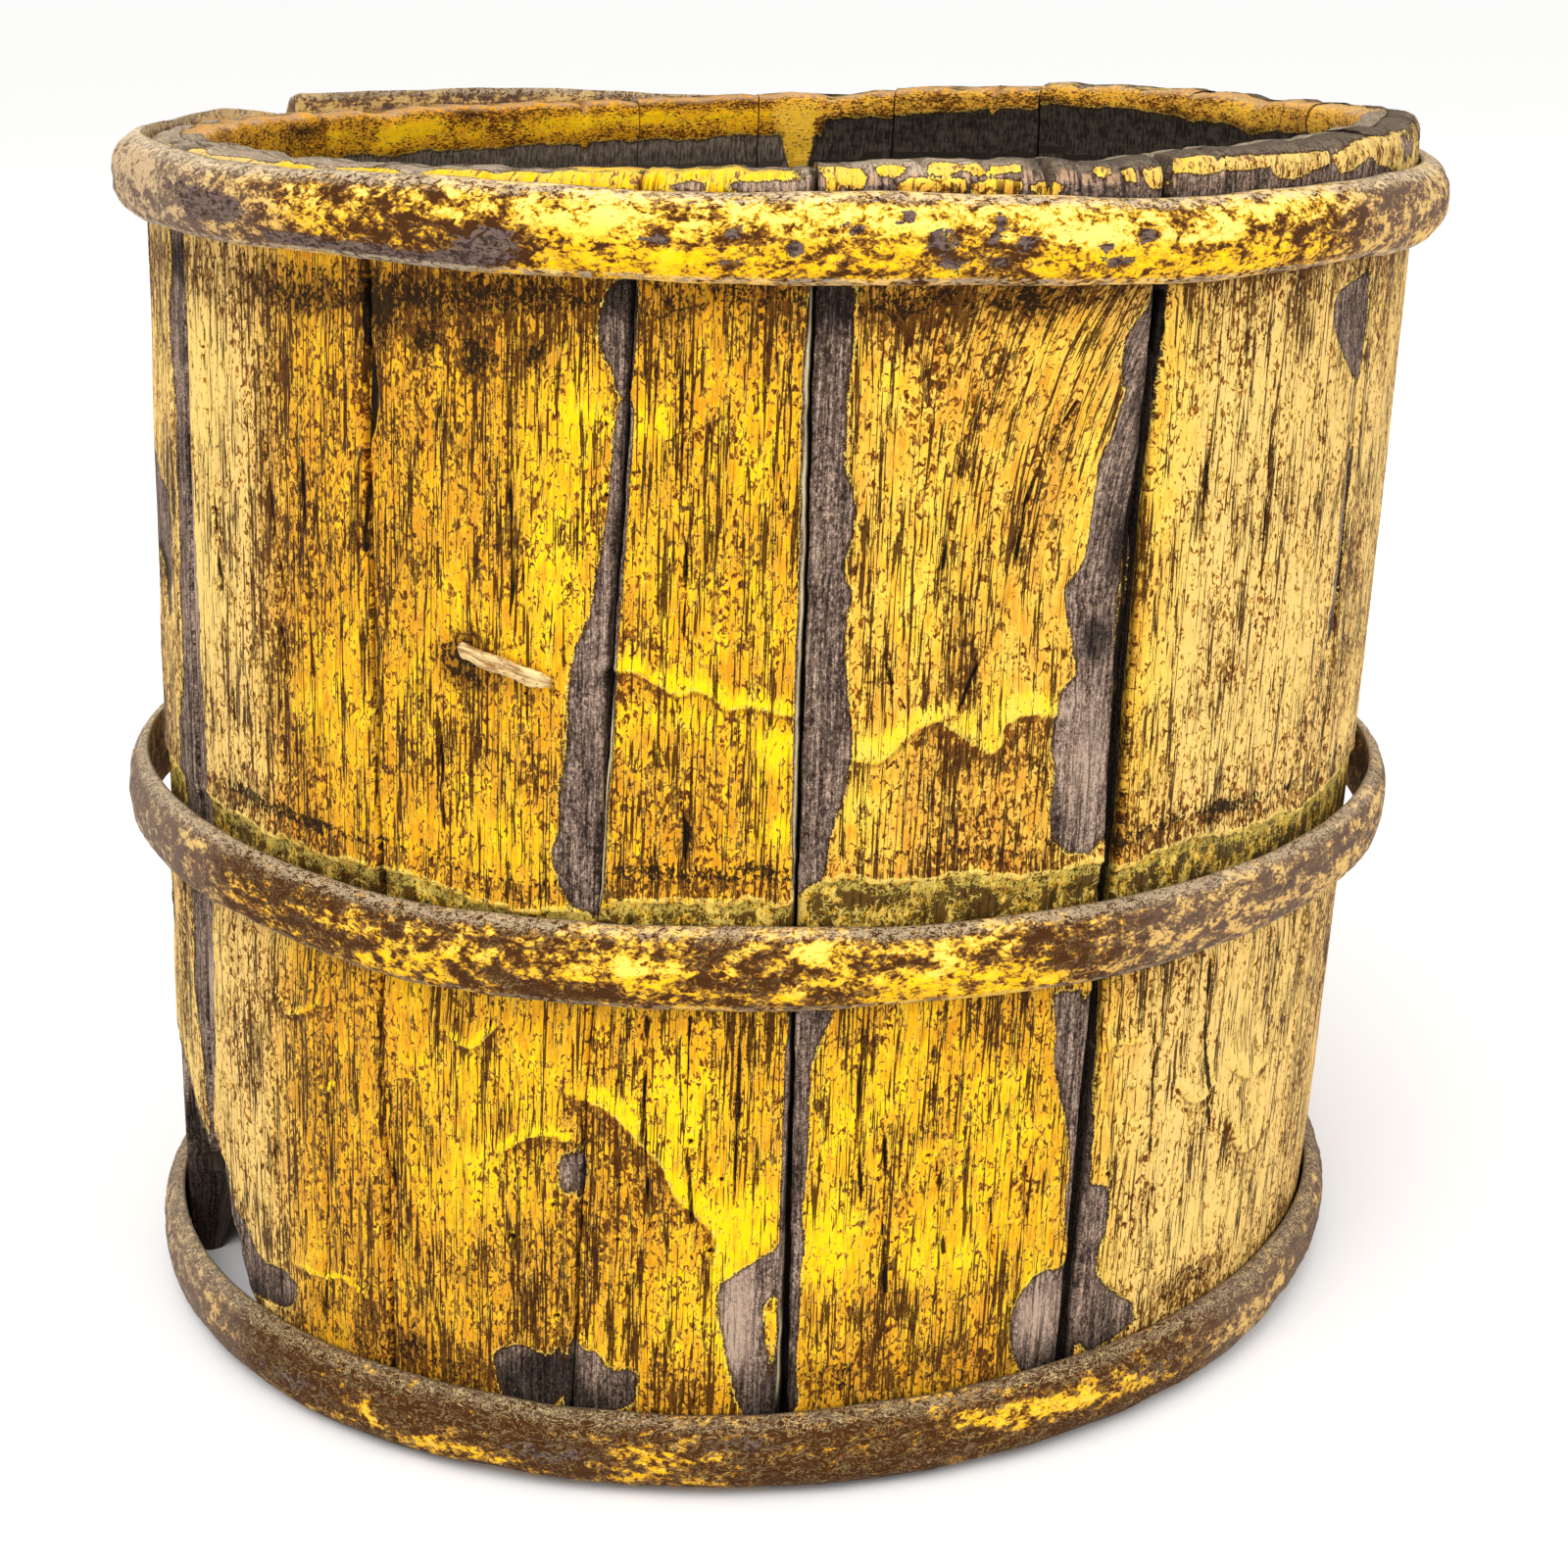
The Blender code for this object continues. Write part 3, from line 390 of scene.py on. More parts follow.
# The same on the painted band inside the far rim
INSIDE_BRIGHT = (
    (338, 142, 16, 10, 1.2), (400, 138, 34, 12, 1.2), (430, 128, 20, 10, 0.7), (600, 122, 22, 9, 1.0),
    (665, 120, 26, 8, 1.1), (760, 118, 80, 9, 1.1), (815, 112, 24, 16, 1.0), (900, 104, 40, 8, 0.5),
    (1150, 112, 30, 8, 0.8), (1260, 112, 40, 8, 1.0), (1360, 116, 40, 8, 0.7),
)
INSIDE_DARK = (
    (305, 140, 20, 16, 1.2), (480, 122, 16, 12, 1.2), (520, 124, 14, 8, 0.9), (560, 118, 20, 7, 0.7),
    (700, 108, 40, 6, 0.6), (770, 104, 50, 5, 0.6), (870, 98, 40, 6, 0.7), (960, 104, 50, 8, 0.7),
    (1060, 102, 50, 8, 0.8), (1200, 110, 20, 8, 0.8),
)
WORM_HOLES = ((618, 505), (415, 1078), (553, 1183), (597, 1230), (736, 1204), (630, 1266), (724, 1277),
              (632, 1210), (564, 1230), (568, 1343), (1130, 1199), (646, 1302), (618, 432), (487, 1225),
              (523, 1262), (905, 500), (1275, 1010), (1163, 1150), (705, 1165), (948, 1180))

# Marks on the hoops: place, half width and half height in the photograph, strength
HOOP_DARK = (
    (230, 212, 34, 14, 1.0), (300, 242, 34, 10, 0.8), (365, 255, 50, 11, 0.9), (420, 268, 40, 9, 0.8),
    (505, 245, 36, 18, 0.8), (470, 264, 50, 11, 0.9), (675, 242, 16, 6, 1.0), (748, 236, 12, 5, 0.9),
    (742, 266, 16, 5, 0.8), (812, 253, 10, 10, 1.0), (872, 231, 22, 8, 0.8), (925, 221, 14, 7, 0.9),
    (957, 243, 20, 14, 0.85), (965, 269, 22, 8, 0.8), (1008, 243, 9, 7, 0.8), (1014, 266, 12, 6, 0.8),
    (1017, 225, 12, 9, 0.9), (1040, 247, 14, 10, 0.85), (1120, 250, 9, 8, 0.8), (1133, 266, 20, 7, 0.75),
    (1162, 238, 13, 7, 0.8), (600, 283, 120, 6, 0.5), (1190, 300, 60, 8, 0.5), (200, 190, 40, 14, 0.5),
    (250, 850, 60, 14, 0.3), (760, 975, 50, 8, 0.4), (1080, 985, 50, 10, 0.4), (1300, 905, 40, 16, 0.4),
    (300, 1400, 50, 16, 0.5), (560, 1475, 60, 18, 0.5), (760, 1470, 80, 18, 0.5), (1180, 1390, 40, 22, 0.5),
)
HOOP_BRIGHT = (
    (330, 205, 70, 16, 0.7), (1370, 228, 60, 24, -0.35), (600, 225, 140, 18, 0.7), (780, 222, 60, 14, 0.7),
    (1230, 235, 60, 24, 1.1), (1110, 235, 80, 24, 1.2), (1000, 230, 80, 18, 0.9), (890, 222, 60, 14, 0.7),
    (830, 262, 60, 14, 0.6), (1060, 268, 60, 12, 0.5), (652, 988, 50, 12, 1.2), (834, 975, 26, 14, 0.9),
    (810, 1013, 18, 14, 1.2), (962, 984, 20, 18, 1.1), (700, 262, 30, 8, 0.7), (460, 215, 60, 10, 0.7),
    (1420, 215, 30, 20, 0.3), (900, 268, 30, 8, 0.5), (578, 982, 62, 16, 0.9), (360, 940, 40, 14, 0.5),
    (480, 975, 40, 12, 0.5), (900, 1000, 60, 14, 0.9), (960, 966, 100, 12, 0.6), (700, 1010, 60, 12, 0.4),
    (1180, 960, 40, 12, 0.7), (830, 1000, 30, 14, 0.5), (1060, 1000, 80, 16, 1.0), (379, 1432, 22, 18, 1.6),
    (448, 1463, 30, 14, 1.6), (228, 1337, 16, 24, 1.4), (1095, 1420, 34, 20, 1.8), (1150, 1406, 44, 16, 2.0),
    (500, 1480, 36, 10, 1.2), (700, 1478, 60, 14, 0.8), (860, 1468, 60, 14, 0.9), (1030, 1440, 44, 18, 1.5),
    (1250, 1345, 50, 20, 0.9), (1300, 1280, 24, 36, 0.9), (1240, 945, 60, 24, -0.5),
    (1190, 1392, 30, 14, 1.0), (260, 1372, 20, 14, 0.5), (880, 1475, 60, 12, 0.3), (640, 1490, 40, 10, 0.4),
)
# Blisters of paint on the hoops: place in the photograph, reach in millimetres, rise in flakes
HOOP_LUMPS = ((1095, 1420, 3.6, 5.0), (1062, 1434, 2.2, 3.0), (1130, 1404, 2.4, 3.0), (379, 1432, 1.8, 3.0),
              (448, 1463, 2.0, 3.0))
# The drip of paint down the inside of the far wall
DRIP_OUTLINE = ((796, 120), (830, 120), (829, 150), (822, 176), (806, 176), (799, 150))


def mix(low, high, share):
    return low + (high - low) * share


def smooth(low, high, value):
    share = np.clip((value - low) / (high - low), 0.0, 1.0)
    return share * share * (3.0 - 2.0 * share)


def hump(value, middle, width):
    """One at the middle, falling to nothing on both sides."""
    return np.exp(-((value - middle) / width) ** 2)


def stacked(*fields):
    """The fields side by side, each spread over the same grid."""
    return np.stack(np.broadcast_arrays(*fields), axis=-1)


def outer_radius(height):
    """Outside of the body at a height: a slight belly between foot and rim."""
    share = height / BODY_HEIGHT
    low = FOOT_RADIUS * (1.0 - share) * (1.0 - 2.0 * share)
    middle = BODY_RADIUS * 4.0 * share * (1.0 - share)
    high = RIM_RADIUS * share * (2.0 * share - 1.0)
    return low + middle + high


def place(degrees, radius, height):
    """Points of the leaning body from angles off the front, radii and heights."""
    turn = np.radians(degrees)
    return stacked(radius * np.sin(turn) + LEAN * height, -radius * np.cos(turn), height) + BODY_SHIFT


def column(table, index):
    return [row[index] for row in table]


def wrapped_degrees(degrees):
    return (degrees + 180.0) % 360.0 - 180.0


def wrapped(around):
    """Millimetres round the wall, brought to within half a turn of the front."""
    turn = 2.0 * math.pi * RADIUS_MM
    return (around + 0.5 * turn) % turn - 0.5 * turn


# Smooth noise

def lattice(across, along, seed):
    """Values from -1 to 1 at whole places."""
    mixed = across * 374761393 + along * 668265263 + seed * 974711
    mixed = (mixed ^ (mixed >> 13)) & 0xFFFFFFFF
    mixed = (mixed * 1274126177) & 0xFFFFFFFF
    mixed = (mixed ^ (mixed >> 16)) & 0xFFFFFF
    return mixed / 8388607.5 - 1.0


def noise(across, along, seed):
    """Smooth noise from -1 to 1 with one feature to each unit."""
    across, along = np.broadcast_arrays(np.asarray(across, float), np.asarray(along, float))
    left = np.floor(across).astype(np.int64)
    low = np.floor(along).astype(np.int64)
    right_share = smooth(0.0, 1.0, across - left)
    high_share = smooth(0.0, 1.0, along - low)
    bottom = mix(lattice(left, low, seed), lattice(left + 1, low, seed), right_share)
    top = mix(lattice(left, low + 1, seed), lattice(left + 1, low + 1, seed), right_share)
    return mix(bottom, top, high_share)


def layered(across, along, seed, layers=3):
    """The noise with finer and weaker noise over it."""
    total = 0.0
    size = 0.5
    for layer in range(layers):
        total = total + size * noise(across * 2.0 ** layer, along * 2.0 ** layer, seed + 31 * layer)
        size *= 0.55
    return total


# From the photograph to the wall

def camera_axes():
    """Right, down and forward of the camera."""
    forward = np.array([math.sin(CAMERA_YAW) * math.cos(CAMERA_PITCH),
                        math.cos(CAMERA_YAW) * math.cos(CAMERA_PITCH), -math.sin(CAMERA_PITCH)])
    level = np.array([math.cos(CAMERA_YAW), -math.sin(CAMERA_YAW), 0.0])
    below = np.cross(forward, level)
    right = math.cos(CAMERA_ROLL) * level + math.sin(CAMERA_ROLL) * below
    down = -math.sin(CAMERA_ROLL) * level + math.cos(CAMERA_ROLL) * below
    return right, down, forward


def on_wall(x, y, standing=0.0, far=False):
    """Millimetres round the wall and up it, seen at a place in the photograph."""
    right, down, forward = camera_axes()
    middle = 0.5 * PICTURE_WIDTH
    ray = forward + (x - middle) / FOCAL_PIXELS * right + (y - middle) / FOCAL_PIXELS * down
    start = CAMERA_PLACE - BODY_SHIFT
    start_across = start[0] - LEAN * start[2]
    ray_across = ray[0] - LEAN * ray[2]
    radius = BODY_RADIUS + standing
    for repeat in range(4):
        square = ray_across ** 2 + ray[1] ** 2
        half = ray_across * start_across + ray[1] * start[1]
        rest = start_across ** 2 + start[1] ** 2 - radius ** 2
        root = math.sqrt(max(0.0, half * half - square * rest))
        reach = (-half + (root if far else -root)) / square
        height = start[2] + reach * ray[2]
        radius = outer_radius(min(max(height, 0.0), BODY_HEIGHT)) + standing
    turn = math.atan2(start_across + reach * ray_across, -(start[1] + reach * ray[1]))
    return RADIUS_MM * turn, 1000.0 * height


def traced(points, standing=0.0, far=False):
    return np.array([on_wall(x, y, standing, far) for x, y in points])


def rounded(path, closed=False, times=1):
    """The same path with its corners cut off."""
    for repeat in range(times):
        before = path if closed else path[:-1]
        after = np.roll(path, -1, axis=0) if closed else path[1:]
        cut = np.stack([mix(before, after, 0.25), mix(before, after, 0.75)], axis=1).reshape(-1, 2)
        path = cut if closed else np.concatenate([path[:1], cut, path[-1:]])
    return path


def path_distance(path, across, along, closed=False):
    """Distance to a path, and the side of it: positive above or outside."""
    ends = np.roll(path, -1, axis=0) if closed else path[1:]
    starts = path if closed else path[:-1]
    best = np.full(across.shape, 1e9)
    side = np.ones(across.shape)
    inside = np.zeros(across.shape, bool)
    for (x0, y0), (x1, y1) in zip(starts, ends):
        run, rise = x1 - x0, y1 - y0
        length = run * run + rise * rise + 1e-12
        share = np.clip(((across - x0) * run + (along - y0) * rise) / length, 0.0, 1.0)
        gap = np.hypot(across - x0 - share * run, along - y0 - share * rise)
        nearer = gap < best
        best = np.where(nearer, gap, best)
        side = np.where(nearer, np.sign(run * (along - y0) - rise * (across - x0)), side)
        if closed and abs(rise) > 1e-9:
            crossing = (y0 > along) != (y1 > along)
            inside ^= crossing & (across < x0 + (along - y0) / rise * run)
    return best, np.where(inside, -1.0, 1.0) if closed else side


def beside(path, across, along, reach, closed=False):
    """Which points lie within reach of a path, and their distances and sides."""
    low = path.min(axis=0) - reach
    high = path.max(axis=0) + reach
    close = (across > low[0]) & (across < high[0]) & (along > low[1]) & (along < high[1])
    return close, *path_distance(path, across[close], along[close], closed)


def placed_spots(marks, standing=0.0, far=False):
    """Soft round marks as rows of: centre round and up the wall, half width, half height, strength."""
    rows = []
    for x, y, wide, tall, strength in marks:
        inward = wide if x < 0.5 * PICTURE_WIDTH else -wide
        around, up = on_wall(x, y, standing, far)
        half_wide = abs(on_wall(x + inward, y, standing, far)[0] - around)
        rows.append((around, up, max(1.0, half_wide), max(1.0, tall / PIXELS_IN_MM), strength))
    return rows


def spots(rows, across, along):
    """Sum of the soft round marks at places of the wall."""
    total = np.zeros(across.shape)
    for x, y, half_wide, half_tall, strength in rows:
        close = (np.abs(across - x) < 2.6 * half_wide) & (np.abs(along - y) < 2.6 * half_tall)
        spread = ((across[close] - x) / half_wide) ** 2 + ((along[close] - y) / half_tall) ** 2
        total[close] += strength * np.exp(-spread)
    return total


# The marks of the wall, as fields over the unrolled wall

BARE = [rounded(traced(outline), True) for outline in BARE_PATCHES]
LIPS = [(strength, rounded(traced(line), False, 2)) for strength, line in PAINT_LIPS]
LEDGE_LINE = rounded(traced(LEDGE))
RIM_REMNANTS = [traced(outline) for outline in RIM_PAINT]
TONGUE = traced(TONGUE_OUTLINE)
CRACK_LINES = [(width, traced(line)) for width, line in CRACKS]
HOLES = traced(WORM_HOLES)
DRIP = traced(DRIP_OUTLINE, -WALL, True)
STAIN_SPOTS = placed_spots(DARK_STAINS)
WORN_SPOTS = placed_spots(WORN_AREAS)
BRIGHT_SPOTS = placed_spots(BRIGHT_AREAS)
INSIDE_BRIGHT_SPOTS = placed_spots(INSIDE_BRIGHT, -WALL, True)
INSIDE_DARK_SPOTS = placed_spots(INSIDE_DARK, -WALL, True)


def slanted_grain(across, along):
    """Millimetres by which the grain fans out to the right."""
    start, low, reach, spread = SLANTED_GRAIN
    rise = np.clip((along - low) / reach, 0.0, 1.1) ** 1.9
    return np.clip(spread * (across - start), 0.0, 13.0) * rise


def shown_part(across):
    """One where the photograph shows the wall, falling to nothing round the back."""
    return 1.0 - smooth(*SHOWN_EDGE_MM, np.abs(across))


def rim_remnants(across, along):
    """Millimetres into the paint left on the stave tops."""
    cover = np.full(across.shape, -3.0)
    for outline in RIM_REMNANTS:
        close, gap, side = beside(outline, across, along, 3.0, True)
        cover[close] = np.maximum(cover[close], 0.35 - 1.5 * gap * side)
    unseen = 2.5 * layered(across * 0.16, along * 0.3, 73)
    return mix(unseen, cover, 1.0 - smooth(*RIM_SHOWN_MM, across))


def paint_cover(across, along, seam_gap, seed):
    """Millimetres into the paint, negative where the wood is bare."""
    cover = np.full(across.shape, 7.0)
    for outline in BARE:
        close, gap, side = beside(outline, across, along, 8.0, True)
        cover[close] = np.minimum(cover[close], gap * side)
    unseen = 1.0 - shown_part(across)
    edge_loss = 4.0 * layered(along * 0.022, across * 0.002, seed) + 0.6
    edge = seam_gap - np.maximum(0.0, edge_loss * 3.0 * unseen)
    patches = 3.0 - 14.0 * np.maximum(0.0, layered(across * 0.045, along * 0.02, seed + 7) - 0.27)
    cover = np.minimum(cover, edge + 6.0 * (1.0 - unseen))
    cover = np.minimum(cover, patches + 9.0 * (1.0 - unseen))
    cover = cover - 1.8 * hump(np.maximum(seam_gap, 0.0), 0.0, 1.1)
    on_rim = (across > WIDE_GAP_MM) & (along > TOP_MARKS_MM)
    return np.where(on_rim, rim_remnants(across, along), cover)


def lip_distance(across, along):
    """Millimetres up from the nearest lip of paint."""
    lip = np.full(across.shape, 10.0)
    for strength, line in LIPS:
        close, gap, side = beside(line, across, along, 10.0)
        gap = gap / strength
        lip[close] = np.where(gap < np.abs(lip[close]), gap * side, lip[close])
    return lip


def crack_distance(across, along):
    """Millimetres to the nearest crack or worm hole, negative in it."""
    crack = np.full(across.shape, 10.0)
    for width, line in CRACK_LINES:
        close, gap = beside(line, across, along, 4.0)[:2]
        gap = gap + 0.35 * noise(along[close] * 0.22, across[close] * 0.4, 19) + 0.18 - 0.6 * width
        crack[close] = np.minimum(crack[close], gap)
    for x, y in HOLES:
        crack = np.minimum(crack, np.hypot(across - x, along - y) - 0.42)
    return crack


def ledge_height(across, seed=5):
    """Millimetres up the wall of the old hoop seat's upper edge."""
    front = np.interp(across, LEDGE_LINE[:, 0], LEDGE_LINE[:, 1])
    return front + 0.7 * noise(across * 0.25, 0.0, seed) + 0.35 * noise(across * 0.9, 0.0, seed + 1)


def wall_marks(across, along, seam_gap, seed):
    """Millimetres into the paint, lift, distances to crack, lip and ledge, and three kinds of soft marks."""
    cover = paint_cover(across, along, seam_gap, seed)
    lip = lip_distance(across, along)
    crack = crack_distance(across, along)
    ledge = along - ledge_height(across)
    lift = 0.26 * smooth(-0.25, 0.25, cover + 0.5 * noise(across * 1.1, along * 0.5, seed + 3)) - 0.26
    drift = 1.3 * layered(across * 0.22, along * 0.13, 201)
    climb = 1.8 * layered(across * 0.22, along * 0.13, 207)
    bright, grime_and_shade, worn = (spots(rows, across + drift, along + climb)
                           for rows in (BRIGHT_SPOTS, STAIN_SPOTS, WORN_SPOTS))

    wavy = lip + 0.3 * noise(across * 0.9, along * 0.9, 11)
    lift += 0.50 * hump(wavy, 0.6, 0.7)
    lift += 0.34 * smooth(-0.15, 0.3, wavy) * (1.0 - smooth(3.0, 9.0, wavy))
    run = 1.1 + 0.7 * noise(across * 0.5, along * 0.3, 15)
    bright += run * smooth(0.0, 0.3, wavy) * (1.0 - smooth(1.0, 4.5, wavy))
    # Below each lip: partly dirt and wear, partly painted shade.
    below = smooth(0.0, 0.6, -wavy) * (1.0 - smooth(1.5, 6.0, -wavy))
    worn += 0.7 * below
    grime_and_shade += 0.45 * below
    lift -= 0.5 * (1.0 - smooth(-0.05, 0.3, crack))
    worn += 0.5 * hump(np.maximum(crack, 0.0), 0.0, 1.2)
    for x, y in HOLES:
        gap = np.hypot(across - x, along - y)
        close = gap < 3.0
        lift[close] += 0.18 * hump(gap[close], 0.9, 0.4)
        bright[close] += 0.8 * hump(gap[close], 0.9, 0.4)
    proud_gap, proud_side = path_distance(TONGUE, across, along, closed=True)
    lift += 0.75 * smooth(-0.1, 0.5, -proud_gap * proud_side)

    seat = smooth(-0.45, 0.25, -ledge) * (1.0 - smooth(16.0, 22.0, -ledge))
    lift -= 0.55 * seat
    lift += 0.30 * hump(ledge, 0.6, 0.7)
    bright += 0.5 * hump(ledge, 0.7, 0.9) * smooth(-0.1, 0.3, noise(across * 0.2, 0.0, 23))
    lift += (0.20 * layered(across * 0.11, along * 0.035, seed + 40)
             + 0.12 * noise(across * 0.7, along * 0.05, seed))
    lift += 0.12 * layered(across * 0.35, along * 0.3, seed + 44) * (0.4 + np.clip(bright, 0.0, 1.0))
    # Painted shade: a dark band just under the top hoop, added to the grime.
    under_hoop = along + 3.0 * layered(across * 0.15, along * 0.1, seed + 50)
    grime_and_shade += 0.95 * smooth(184.0, 193.0, under_hoop) * (1.0 - smooth(196.0, 199.0, along))
    grime_and_shade += 0.8 * (1.0 - smooth(14.0, 29.0, along + 4.0 * layered(across * 0.1, along * 0.1, seed + 51)))
    grime_and_shade += 0.35 * np.exp(-np.maximum(seam_gap, 0.0) / 0.9)
    worn += 0.3 * np.exp(-np.maximum(seam_gap, 0.0) / 2.0)
    unseen = 1.0 - shown_part(across)
    worn += unseen * (0.45 + 0.8 * layered(across * 0.05, along * 0.03, seed + 60))
    bright += unseen * np.maximum(0.0, 1.6 * layered(across * 0.06, along * 0.05, seed + 66))
    grime_and_shade += unseen * np.maximum(0.0, 1.8 * layered(across * 0.05, along * 0.05, seed + 70) - 0.25)
    return cover, lift, crack, lip, ledge, bright, grime_and_shade, worn


# Building closed skins from rings of points

# Kind and field of a painted layer, by how many values a point has in it
LAYER_KINDS = {3: ("FLOAT_VECTOR", "vector"), 4: ("FLOAT_COLOR", "color")}
SHARP_DEGREES = 50.0


def skin(name, points, layers, material):
    """A closed mesh from rings of points, closed at both ends, with its painted layers."""
    rows, count = points.shape[:2]
    index = np.arange(rows * count).reshape(rows, count)
    after = np.roll(index, -1, axis=1)
    faces = [np.stack([index[:-1], after[:-1], after[1:], index[1:]], axis=-1).reshape(-1, 4)]
    step = np.arange(count // 2 - 1)
    for row, turned in ((index[0], True), (index[-1], False)):
        strip = np.stack([row[step], row[step + 1], row[count - 2 - step], row[count - 1 - step]], axis=-1)
        faces.append(strip[:, ::-1] if turned else strip)
    faces = np.concatenate(faces)
    mesh = bpy.data.meshes.new(name)
    mesh.vertices.add(rows * count)
    mesh.vertices.foreach_set("co", points.reshape(-1))
    mesh.loops.add(faces.size)
    mesh.loops.foreach_set("vertex_index", faces.reshape(-1))
    mesh.polygons.add(len(faces))
    mesh.polygons.foreach_set("loop_start", np.arange(0, faces.size, 4))
    mesh.update(calc_edges=True)
    mesh.validate()
    for key, values in layers.items():
        kind, field = LAYER_KINDS[values.shape[-1]]
        layer = mesh.attributes.new(key, kind, "POINT")
        layer.data.foreach_set(field, values.astype(np.float32).reshape(-1))
    mesh.materials.append(material)
    mesh.shade_smooth()
    mesh.set_sharp_from_angle(angle=math.radians(SHARP_DEGREES))
    piece = bpy.data.objects.new("dressed_" + name, mesh)
    bpy.context.scene.collection.objects.link(piece)
    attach(piece, "root")
    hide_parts(name)


# Staves

def seam_line(number, height):
    """Degrees of a seam's middle and half its opening in millimetres, with its wander."""
    foot, rim, low, middle, high, wander = SEAMS[number % len(SEAMS)]
    share = height / BODY_HEIGHT
    amount = 1000.0 * wander
    sway = amount * (noise(height * 28.0, number * 3.7, 91) + 0.6 * noise(height * 95.0, number * 3.7, 92))
    sway = sway + 0.12 * noise(height * 420.0, number * 3.7, 93)
    degrees = mix(foot, rim, share) + np.degrees(0.001 * sway / BODY_RADIUS)
    opening = np.interp(share, (0.0, 0.45, 0.8, 1.0), (low, middle, mix(middle, high, 0.6), high))
    ragged = 0.15 * np.maximum(0.0, noise(height * 160.0, number * 5.1, 94))
    return degrees, 500.0 * opening + ragged


def stave_side(number, side, height, through):
    """Degrees of a stave's side face at heights, through the wall from outside to inside."""
    degrees, half = seam_line(number + side, height)
    if side == 1 and number == len(STAVES) - 1:
        degrees = degrees + 360.0
    gap = 500.0 * FIT_GAP
    half = gap + (half - gap) * (1.0 - 0.75 * through)
    away = np.degrees(0.001 * half / BODY_RADIUS)
    degrees = degrees + (away if side == 0 else -away)
    degrees = degrees + np.degrees(SIDE_BOW / BODY_RADIUS) * 4.0 * through * (1.0 - through)
    if side == 0 and STAVES[number][0] == "left_front_stave":
        heights = column(EDGE_WEAR, 0)
        outside = np.interp(height, heights, column(EDGE_WEAR, 1))
        inside = np.interp(height, heights, column(EDGE_WEAR, 2))
        lost = mix(outside, inside, through)
        ragged = 0.9 * layered(height * 260.0, through * 3.0, 77) * smooth(0.0, 2.0, lost)
        degrees = degrees + np.maximum(0.0, lost + ragged)
    return degrees


def face_columns(width, step):
    """Shares across a stave, closer together at its rounded edges."""
    edge = np.array([0.0, 0.12, 0.3, 0.55, 0.85, 1.2]) / width
    inner_start, inner_end = edge[-1] + step / width, 1.0 - edge[-1] - step / width
    count = max(4, int(width * (inner_end - inner_start) / step))
    return np.concatenate([edge, np.linspace(inner_start, inner_end, count), 1.0 - edge[::-1]])


def ring_shares(columns):
    """Share across and share through the wall of each point round a stave."""
    depth = (np.arange(SIDE_STEPS) + 1.0) / (SIDE_STEPS + 1.0)
    across = np.concatenate([columns, np.ones(SIDE_STEPS), columns[::-1], np.zeros(SIDE_STEPS)])
    through = np.concatenate([np.zeros(len(columns)), depth, np.ones(len(columns)), depth[::-1]])
    return across, through


def rim_height(number, degrees, across):
    """Height of a stave's top, with its waves, splits and lost chips."""
    rise, slope = STAVES[number][1:3]
    side = BODY_RADIUS * np.sin(np.radians(degrees))
    wave = 0.00018 * np.sin(degrees * 0.71 + number) + 0.00012 * np.sin(degrees * 1.9 + 2.0 * number)
    fibres = 0.00016 * layered(degrees * 0.5, 0.0, 51 + number) - 0.00003
    height = BODY_HEIGHT + RIM_SLOPE * side + rise + slope * (across - 0.5) * 2.0 + wave + fibres
    turn = wrapped_degrees(degrees)
    for split, depth in RIM_SPLITS:
        height = height - depth * hump(turn, split, SPLIT_WIDTH)
    for chip, depth, wide in RIM_CHIPS:
        height = height - depth * hump(turn, chip, wide)
    return height


def spaced(low, high, step, more=0):
    """Heights between two others, which are left out."""
    return np.linspace(low, high, int((high - low) / step) + more)[1:-1]


def stave_levels(step):
    """Levels up a whole stave as rows of: kind, height or drop, share of the way to the middle."""
    levels = [("foot", 0.0, inward) for inward in (0.93, 0.6, 0.3)]
    heights = [0.25 * FOOT_ROUND_HEIGHT, 0.5 * FOOT_ROUND_HEIGHT, *column(INSIDE_CUTS, 0), STRAIGHT_TOP]
    heights.extend(spaced(GROOVE_HIGH, STRAIGHT_TOP, step))
    heights.extend(spaced(FOOT_ROUND_HEIGHT, CHIME_TOP, step))
    heights.extend(spaced(CHIME_TOP, GROOVE_LOW, step, 1))
    levels.extend(("wall", height, 0.0) for height in sorted(heights))
    angles = np.radians((14, 26, 37, 47, 56, 64, 72, 81, 90))
    levels.extend(("rim", RIM_DROP * math.cos(angle), 0.0) for angle in angles)
    levels.extend(("rim", 0.0, inward) for inward in (0.2, 0.42, 0.65, 0.93))
    return levels


def broken_levels(step):
    """Levels up the broken stave, from its ragged end."""
    levels = [("break", 0.0, inward) for inward in (0.93, 0.65, 0.4, 0.18)]
    levels.extend(("break", share, 0.0) for share in np.linspace(0.0, 0.96, 26))
    return levels + [level for level in stave_levels(step) if level[0] == "rim" or level[1] > BREAK_END]


# Distances on the wall are held to this many millimetres
FAR_MM = 12.0


class Points(NamedTuple):
    """Every point of a stave, as arrays of its levels by its ring."""

    is_rim: np.ndarray
    is_break: np.ndarray
    level: np.ndarray  # height, drop below the rim, or share of the way up from the broken end
    inward: np.ndarray  # share of the way from the edge of an end to its middle
    share: np.ndarray  # across the stave, from its left side as seen from outside
    through: np.ndarray  # through the wall, from outside to inside
    height: np.ndarray
    top: np.ndarray  # height of the stave's top
    line: np.ndarray  # height of the broken end
    degrees: np.ndarray  # off the front, to the right
    gap: np.ndarray  # millimetres to the nearer side of the stave


